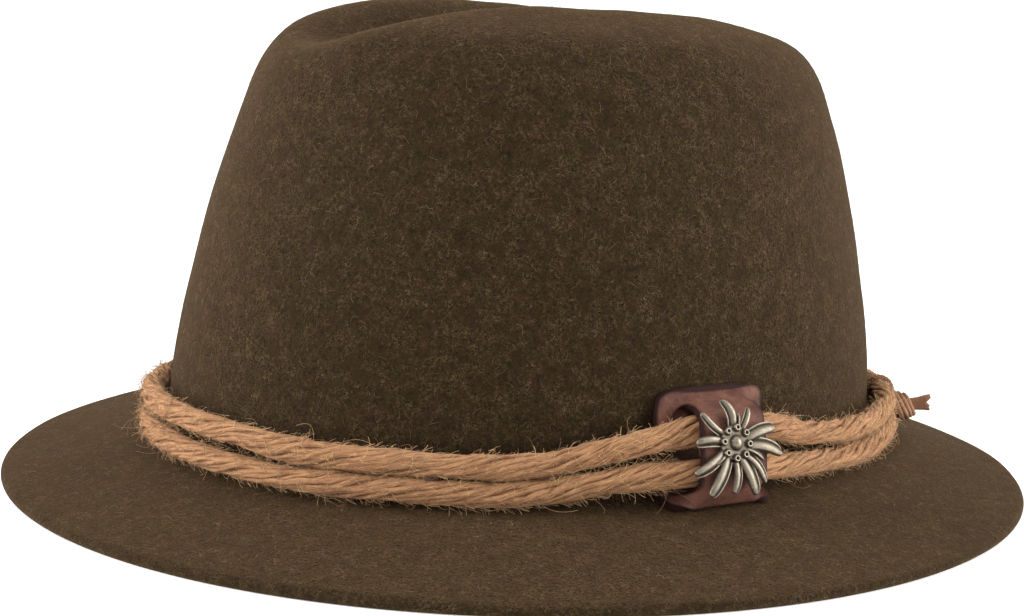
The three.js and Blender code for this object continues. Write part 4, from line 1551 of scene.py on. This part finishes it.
@dataclass
class Edelweiss:
    """The cast ornament: petals, plate, boss, ring of beads, post and rivet in one casting."""

    keeper: Keeper
    finish: AntiquePewter = AntiquePewter()
    flower_up: float = 15.1
    longest_petal: float = 16.6
    petal_crest: float = 1.1
    plate_radius: float = 4.4
    plate_thickness: float = 1.4
    boss_radius: float = 1.6
    boss_stretch: float = 1.15
    bead_ring: float = 3.8
    bead_radius: float = 0.85
    bead_phase: float = -0.19
    bead_hole: float = 0.36
    beads: int = 8
    post_radius: float = 1.2
    rivet_radius: float = 2.0
    rivet_thickness: float = 0.9
    voxel: float = 0.16
    # How far the surroundings are smoothed, what stands out of them, and the heights that count.
    crest_rounds: int = 10
    crest_stand: float = 0.10
    crest_middle: float = 1.2
    crest_range: float = 2.0

    def petal(self, turn: float, reach: float, width: float, bend: float) -> Skin:
        """Build one petal: a bar with a bright ridge and a groove along one side.

        Args:
            turn: Direction in degrees from the right.
            reach: Length as a share of the longest petal.
            width: Width as a share of its length.
            bend: Sideways bow as a share of its length.

        Returns:
            Its points and faces.
        """
        length = reach * self.longest_petal
        root, half = self.plate_radius * 0.6, width * length / 2
        way = np.linspace(0, 1, 26)
        breadth = np.interp(way, (0, 0.25, 0.55, 0.82, 0.95, 1), (0.80, 1.12, 1.25, 1.17, 0.95, 0.62)) * half
        crest = np.interp(way, (0, 0.25, 0.55, 0.85, 1), (0.7, 0.9, 1.0, 0.92, 0.62)) * self.petal_crest
        x = root + (length - root) * way
        middle = bend * length * np.sin(math.pi * way)
        floor = 0.35 + 0.35 * np.sin(math.pi * way)
        aside, high = (np.array(PETAL_SECTION[column]) for column in ("aside", "high"))
        sides = len(aside)
        points = np.stack([
            np.broadcast_to(x[:, None], (len(way), sides)),
            middle[:, None] + breadth[:, None] * aside[None],
            floor[:, None] + crest[:, None] * high[None],
        ], axis=-1)
        faces = ring_faces(len(way), sides).tolist()
        flat, faces = capped(points.reshape(-1, 3), faces, points[0].mean(axis=0),
                             points[-1].mean(axis=0) + [0.15, 0, 0], sides)
        c, s = math.cos(math.radians(turn)), math.sin(math.radians(turn))
        return flat @ np.array([[c, s, 0], [-s, c, 0], [0, 0, 1]]), faces

    @staticmethod
    def lathe(profile: Sequence[tuple[float, float]], sides: int = 40) -> Skin:
        """Turn a profile about the Z axis into a closed solid.

        Args:
            profile: Radius and height of its corners, from axis to axis.
            sides: How many points go round it.

        Returns:
            The solid's skin.
        """
        turn = np.arange(sides) * 2 * math.pi / sides
        rings = [np.stack([radius * np.cos(turn), radius * np.sin(turn), np.full(sides, high)], axis=-1)
                 for radius, high in profile[1:-1]]
        faces = [tuple(face[::-1]) for face in ring_faces(len(rings), sides).tolist()]
        return capped(np.concatenate(rings), faces, (0, 0, profile[0][1]), (0, 0, profile[-1][1]), sides)

    def bead(self) -> Skin:
        """Build one bead of the ring: a small raised eyelet with a deep hole.

        Returns:
            Its skin.
        """
        outer, hole, high = self.bead_radius * 1.08, self.bead_hole, self.bead_radius * 1.15
        return self.lathe((
            (0, -0.4), (outer * 0.8, -0.4), (outer, 0.1), (outer, high * 0.55), (outer * 0.86, high * 0.9),
            ((outer + hole) / 2, high), (hole * 1.1, high * 0.86), (hole, high * 0.5), (hole * 0.9, 0.15),
            (0, 0.1)), 24)

    def face(self) -> list[Skin]:
        """Build what shows: the petals, the plate, the boss and the ring of beads.

        Returns:
            Their skins, lying flat.
        """
        radius, thick, boss = self.plate_radius, self.plate_thickness, self.boss_radius
        plate = self.lathe(((0, 0), (radius * 0.96, 0), (radius, 0.2), (radius, thick - 0.25),
                            (radius * 0.95, thick), (0, thick)))
        dome = [(boss * math.cos(turn), thick - 0.1 + boss * 0.95 * math.sin(turn))
                for turn in np.radians(np.linspace(0, 84, 9))]
        foot, top = thick - 0.6, dome[-1][1] + 0.02
        points, faces = self.lathe([(0, foot), (boss, foot), *dome, (0, top)], 32)
        parts = [self.petal(**petal) for petal in PETALS]
        parts += [plate, (points * np.array([1.0, self.boss_stretch, 1.0]), faces)]
        for number in range(self.beads):
            turn = (number + self.bead_phase) * 2 * math.pi / self.beads
            spot = np.array([self.bead_ring * math.cos(turn), self.bead_ring * math.sin(turn), thick])
            points, faces = self.bead()
            parts.append((points + spot, faces))
        return parts

    def rivet(self) -> list[Skin]:
        """Build what holds it: the post through the leather and the head behind.

        Returns:
            Their skins, lying flat.
        """
        behind, front = self.keeper.seat, self.keeper.seat + self.plate_thickness / 2
        post, head, thick = self.post_radius, self.rivet_radius, self.rivet_thickness
        return [
            self.lathe(((0, -behind - 0.3), (post, -behind - 0.3), (post, front), (0, front)), 24),
            self.lathe(((0, -behind - thick), (head * 0.7, -behind - thick), (head, -behind - thick * 0.5),
                        (head, -behind), (0, -behind)), 28),
        ]

    def build(self) -> None:
        """Build and dress the ornament."""
        keeper = self.keeper
        along = (keeper.over_upper[1] - self.flower_up) / (keeper.over_upper[1] - keeper.over_lower[1])
        place = keeper.over_upper + (keeper.over_lower - keeper.over_upper) * along
        place = place + keeper.front * keeper.seat
        face_frame = keeper.bridge_frame(math.radians(keeper.flower_angle), place)
        groups = ((self.face(), face_frame), (self.rivet(), keeper.post_frame()))
        placed = [(points @ axes[:3] + axes[3], faces) for parts, axes in groups for points, faces in parts]
        made = mesh_object("edelweiss_casting", *joined(placed))
        cast = made.modifiers.new("cast", "REMESH")
        cast.mode = "VOXEL"
        cast.voxel_size = self.voxel * MM
        cast.use_smooth_shade = True
        soften = made.modifiers.new("soften", "SMOOTH")
        soften.factor = 0.5
        soften.iterations = 2
        settled(made)
        self.store_crests(made, face_frame)
        finished(made, self.finish.material(), "white_metal", "edelweiss")

    def store_crests(self, made: bpy.types.Object, frame_on: np.ndarray) -> None:
        """Keep how rubbed each point is, and so how much patina and painted shade it takes, from its height
        and from how far it stands out round about.

        Args:
            made: The casting.
            frame_on: The frame that the ornament's face lies in.
        """
        mesh = made.data
        count = len(mesh.vertices)
        spots, normals = np.empty(count * 3), np.empty(count * 3)
        mesh.vertices.foreach_get("co", spots)
        mesh.vertices.foreach_get("normal", normals)
        spots, normals = spots.reshape(-1, 3) / MM, normals.reshape(-1, 3)
        edges = np.empty(len(mesh.edges) * 2, dtype=int)
        mesh.edges.foreach_get("vertices", edges)
        a, b = edges.reshape(-1, 2).T
        share = np.bincount(a, minlength=count) + np.bincount(b, minlength=count)

        def spread(values: np.ndarray) -> np.ndarray:
            """Give each point the mean of its neighbours."""
            total = [np.bincount(a, values[b, k], count) + np.bincount(b, values[a, k], count)
                     for k in range(values.shape[1])]
            return np.stack(total, axis=-1) / np.maximum(share, 1)[:, None]

        around = spots
        for _ in range(self.crest_rounds):
            around = spread(around)
        stand = ((spots - around) * normals).sum(-1)
        height = (spots - frame_on[3]) @ frame_on[2]
        lifted = (height - self.crest_middle) / self.crest_range
        crest = 0.5 + np.clip(stand / self.crest_stand, -1, 1) * 0.35 + np.clip(lifted, -0.5, 0.5) * 0.3
        store(made, "crest", np.clip(crest, 0, 1))


@dataclass
class LaceTie:
    """The tie round both strands at the back left: its thin loop, its wound knot and its ragged end."""

    form: HatForm
    finish: GrainedLeather = GrainedLeather(
        name="lace_leather", body="#835C45", worn="#A98162", edge="#55301F", pore=0.35, roughness=0.65)
    loop_finish: JuteYarn = JuteYarn(
        name="lace_yarn", deep="#4A2C1E", body="#73503A", light="#A17A58")
    loop_diameter: float = 1.2
    loop_gap: float = 0.05
    turns: int = 4
    pitch: float = 1.22
    band_radius: float = 0.78
    winding_radius: float = 3.72
    angle: float = 154.0
    knot_drop: float = 1.5
    standoff: float = 0.8
    slant: float = 0.50
    rise: float = 0.10
    taper: float = 0.30
    end_length: float = 5.4
    end_height: float = 4.6
    end_thickness: float = 2.2
    notch: float = 0.9
    loop_twists: int = 11
    loop_sides: int = 10
    band_ripple: Ripple = Ripple(0.07, (2, 5, 9), 73)
    fray: Ripple = Ripple(0.35, (5, 9, 14), 71)
    side_ripple: Ripple = Ripple(0.08, (4, 7), 72)
    # How cleanly cut the turns and the end look: 0 is a dark cut edge. The core under the turns takes 0, the
    # full edge colour, as painted shade between the turns.
    rims_and_shade: tuple[float, float, float] = (1.1, 0.0, 0.7)

    @property
    def places(self) -> tuple[np.ndarray, np.ndarray]:
        """Where the two strands lie at the tie, out and up from the crown's foot, the lower one first."""
        lower, upper = (np.array(self.form.strand_place(self.angle, strand)) for strand in Strand)
        return lower, upper

    @property
    def reach(self) -> float:
        """How far from a strand's middle the loop's middle runs."""
        return self.form.rope_diameter / 2 + self.loop_gap + self.loop_diameter / 2

    def tube(self, line: np.ndarray, radius: np.ndarray, sides: int, closed: bool) -> Skin:
        """Wrap a round skin on a line of points, with its ends closed.

        Args:
            line: The middle line.
            radius: The skin's radius at each of its points.
            sides: How many points go round it.
            closed: Whether the line's end joins its start.

        Returns:
            The skin's points and faces.
        """
        if closed:
            along = unit(np.roll(line, -1, axis=0) - np.roll(line, 1, axis=0))
        else:
            along = unit(np.gradient(line, axis=0))
        aside = unit(np.cross(along, self.form.foot_normal(math.radians(self.angle))))
        other = np.cross(along, aside)
        turn = np.arange(sides) * 2 * math.pi / sides
        rings = line[:, None] + radius[:, None, None] * (
            aside[:, None] * np.cos(turn)[None, :, None] + other[:, None] * np.sin(turn)[None, :, None])
        faces = [tuple(face[::-1]) for face in ring_faces(len(line), sides, looped=closed).tolist()]
        points = rings.reshape(-1, 3)
        if not closed:
            points, faces = capped(points, faces, line[0], line[-1], sides)
        return points, faces

    def loop(self) -> bpy.types.Object:
        """Build the loop, two twisted yarns that go round both strands.

        Returns:
            The loop.
        """
        form = self.form
        normal = form.foot_normal(math.radians(self.angle))
        lower, upper = self.places
        turn = np.linspace(0, 2 * math.pi, 150, endpoint=False)
        centre = np.where((np.sin(turn) >= 0)[:, None], upper, lower)
        out, up = centre[:, 0] + self.reach * np.cos(turn), centre[:, 1] + self.reach * np.sin(turn)
        middle = form.foot_point(np.full_like(out, math.radians(self.angle)), out, up)
        along = unit(np.roll(middle, -1, axis=0) - np.roll(middle, 1, axis=0))
        aside = np.broadcast_to(unit(np.cross(normal, [0, 0, 1])), along.shape)
        other = np.cross(along, aside)
        yarn = self.loop_diameter * 0.28
        skins = []
        for side in (0.0, math.pi):
            phase = self.loop_twists * turn + side
            line = middle + yarn * (aside * np.cos(phase)[:, None] + other * np.sin(phase)[:, None])
            skins.append(self.tube(line, np.full(len(line), yarn * 1.1), self.loop_sides, True))
        points, faces = joined(skins)
        made = mesh_object("lace_loop", points, faces)
        store(made, "groove", np.full(len(points), 1.0))
        ring, side = np.divmod(np.array(faces).reshape(-1), self.loop_sides)
        store_uv(made, np.stack([ring * 0.22, side * 0.2], axis=-1))
        return made

    def knot(self) -> bpy.types.Object:
        """Build the wound knot and the lace's cut end.

        Returns:
            Both as one piece.
        """
        form = self.form
        angle = math.radians(self.angle)
        out, up = sum(self.places) / 2
        normal, upward = form.foot_normal(angle), np.array([0.0, 0.0, 1.0])
        origin = form.foot_point(angle, out + self.reach, up - self.knot_drop)
        level = np.stack([np.cross(upward, normal), upward, normal])
        # The turns lie slantwise round the knot, which points outwards and a little upwards.
        leaned = np.array([[1, 0, 0], [0, 1, -self.slant], [0, self.rise, 1]]) @ level
        wind = np.linspace(0, self.turns * 2 * math.pi, 60 * self.turns)
        ring = self.winding_radius * (1 - self.taper * ease(0.2, 1.0, wind / wind[-1]))
        far = self.standoff + self.pitch * (0.05 + wind / (2 * math.pi)) + 0.12 * np.sin(wind * 1.3)
        helix = np.stack([ring * np.cos(wind), ring * np.sin(wind), far], axis=-1)
        length = self.standoff + self.turns * self.pitch
        wide, narrow = self.winding_radius, self.winding_radius * (1 - self.taper)
        core, core_faces = Edelweiss.lathe(
            ((0, 0.2), (wide, 0.2), (narrow, length), (narrow * 0.7, length + 0.3), (0, length + 0.3)), 40)
        thickness = self.band_radius * (1 + self.band_ripple.at(wind))
        bands = self.tube(helix @ leaned + origin, thickness, 16, False)
        parts = [bands, (core @ leaned + origin, core_faces), self.stub(level, origin, length)]
        made = mesh_object("lace_knot", *joined(parts))
        # The core gets the full edge colour: painted shade between the turns.
        store(made, "rim", np.concatenate([
            np.full(len(points), rim) for (points, _), rim in zip(parts, self.rims_and_shade)]))
        return made

    def stub(self, axes: np.ndarray, origin: np.ndarray, knot_length: float) -> Skin:
        """Build the lace's cut end, a flat strip that widens and ends torn.

        Args:
            axes: The directions across, upwards and outwards.
            origin: The knot's place.
            knot_length: How far out the knot ends.

        Returns:
            Its points and faces.
        """
        way = np.linspace(0, 1, 22)
        sides = 32
        turn = np.arange(sides) * 2 * math.pi / sides
        rows = (0, 0.45, 0.85, 1)
        thick = np.interp(way, rows, (0.9, 0.9, 1.0, 0.8)) * self.end_thickness / 2
        height = np.interp(way, rows, (0.72, 0.82, 1.0, 1.06)) * self.end_height / 2
        lift = np.interp(way, rows, (0.15, 0.20, 0.30, 0.30)) * self.end_height
        reach = knot_length * (1 - way) * 0.8 + (knot_length + self.end_length) * way
        across, up = (np.sign(wave) * np.abs(wave) ** 0.6 for wave in (np.cos(turn), np.sin(turn)))
        # The torn end has a notch at half its height and frays between.
        torn = self.fray.at(turn) - self.notch * np.exp(-(up / 0.22) ** 2)
        points = np.stack([
            thick[:, None] * (across * (1 + self.side_ripple.at(turn)))[None, :],
            lift[:, None] + height[:, None] * up[None, :],
            reach[:, None] + torn[None, :] * (way ** 4)[:, None]], axis=-1)
        faces = [tuple(face[::-1]) for face in ring_faces(len(way), sides).tolist()]
        flat, faces = capped(points.reshape(-1, 3), faces, points[0].mean(axis=0),
                             points[-1].mean(axis=0) - [0, 0, 0.6], sides)
        return flat @ axes + origin, faces

    def build(self) -> None:
        """Build and dress the tie."""
        finished(self.knot(), self.finish.material(), "lace", "lace_tie")
        finished(self.loop(), self.loop_finish.material(), "lace")


@dataclass
class Studio:
    """The camera at the photograph's angle, a pale floor and soft light, brighter from both sides."""

    azimuth: float = 57.0
    elevation: float = 10.3
    distance: float = 600.0
    target: tuple[float, float, float] = (0.0, 0.0, 41.2)
    target_pixel: tuple[float, float] = (524.0, 323.0)
    focal_pixels: float = 2125.0
    roll: float = 2.4
    sensor: float = 36.0
    floor_radius: float = 9.0
    floor_tone: str = "#F4F4F2"
    floor_glow: float = 0.34
    sky_strength: float = 0.42

    @staticmethod
    def direction(azimuth: float, elevation: float) -> Vector:
        """Return the direction this many degrees round from the front and above the floor."""
        a, e = math.radians(azimuth), math.radians(elevation)
        return Vector((math.sin(a) * math.cos(e), -math.cos(a) * math.cos(e), math.sin(e)))

    def camera(self) -> None:
        """Make the camera, rolled a little so that the hat leans as it does in the photograph."""
        r = math.radians(self.roll)
        away = self.direction(self.azimuth, self.elevation)
        target = Vector(self.target) * MM
        spot = target + away * self.distance * MM

        def basis(back: Vector) -> tuple[Vector, Vector, Vector]:
            """Return the rolled camera's right, up and backward directions."""
            right = Vector((0, 0, 1)).cross(back).normalized()
            up = back.cross(right)
            return right * math.cos(r) + up * math.sin(r), up * math.cos(r) - right * math.sin(r), back

        right, up, _ = basis(away)
        scale = self.distance * MM / self.focal_pixels
        aim = target - right * (self.target_pixel[0] - IMAGE[0] / 2) * scale
        aim = aim + up * (self.target_pixel[1] - IMAGE[1] / 2) * scale
        right, up, back = basis((spot - aim).normalized())
        lens = bpy.data.cameras.new("camera")
        lens.sensor_width = self.sensor
        lens.lens = self.focal_pixels * self.sensor / IMAGE[0]
        lens.clip_start, lens.clip_end = 0.01, 100.0
        made = bpy.data.objects.new("camera", lens)
        made.matrix_world = Matrix((
            (right.x, up.x, back.x, spot.x), (right.y, up.y, back.y, spot.y),
            (right.z, up.z, back.z, spot.z), (0, 0, 0, 1)))
        bpy.context.scene.collection.objects.link(made)
        bpy.context.scene.camera = made

    def light(self, name: str, azimuth: float, elevation: float, distance: float, size: float,
              power: float) -> None:
        """Hang one square soft light that faces the hat.

        Args:
            name: The light's name.
            azimuth: Degrees round from the front, towards the wearer's left.
            elevation: Degrees above the floor.
            distance: Metres from the hat.
            size: Its side in metres.
            power: Its power in watts.
        """
        away = self.direction(azimuth, elevation)
        lamp = bpy.data.lights.new(name, "AREA")
        lamp.size, lamp.energy = size, power
        made = bpy.data.objects.new(name, lamp)
        made.location = away * distance + Vector((0, 0, 0.05))
        made.rotation_euler = away.to_track_quat("Z", "Y").to_euler()
        bpy.context.scene.collection.objects.link(made)

    def build(self) -> None:
        """Make the camera, lights, surroundings and floor."""
        self.camera()
        for light in LIGHTS:
            self.light(**light)
        bpy.context.scene.view_settings.view_transform = "Standard"
        world = bpy.data.worlds.new("studio")
        world.use_nodes = True
        plug(world.node_tree, world.node_tree.nodes["Background"], {
            "Color": linear("#FFFFFF"), "Strength": self.sky_strength,
        })
        bpy.context.scene.world = world
        turn = np.arange(96) * 2 * math.pi / 96
        ring = np.stack([np.cos(turn), np.sin(turn), 0 * turn], axis=-1) * self.floor_radius / MM
        floor = mesh_object("floor", ring, [range(96)])
        pale, tree, shader = fresh_material("pale_floor")
        plug(tree, shader, {
            "Base Color": linear(self.floor_tone), "Roughness": 0.9,
            "Emission Color": linear("#FFFFFF"), "Emission Strength": self.floor_glow,
        })
        floor.data.materials.append(pale)


def main() -> None:
    logging.basicConfig(level=logging.INFO, format="%(name)s: %(message)s")
    form = HatForm()
    Studio().build()
    FeltShell(form).build()
    HatCord(form).build()
    keeper = Keeper(form)
    keeper.build()
    Edelweiss(keeper).build()
    LaceTie(form).build()


if __name__ == "__main__":
    main()
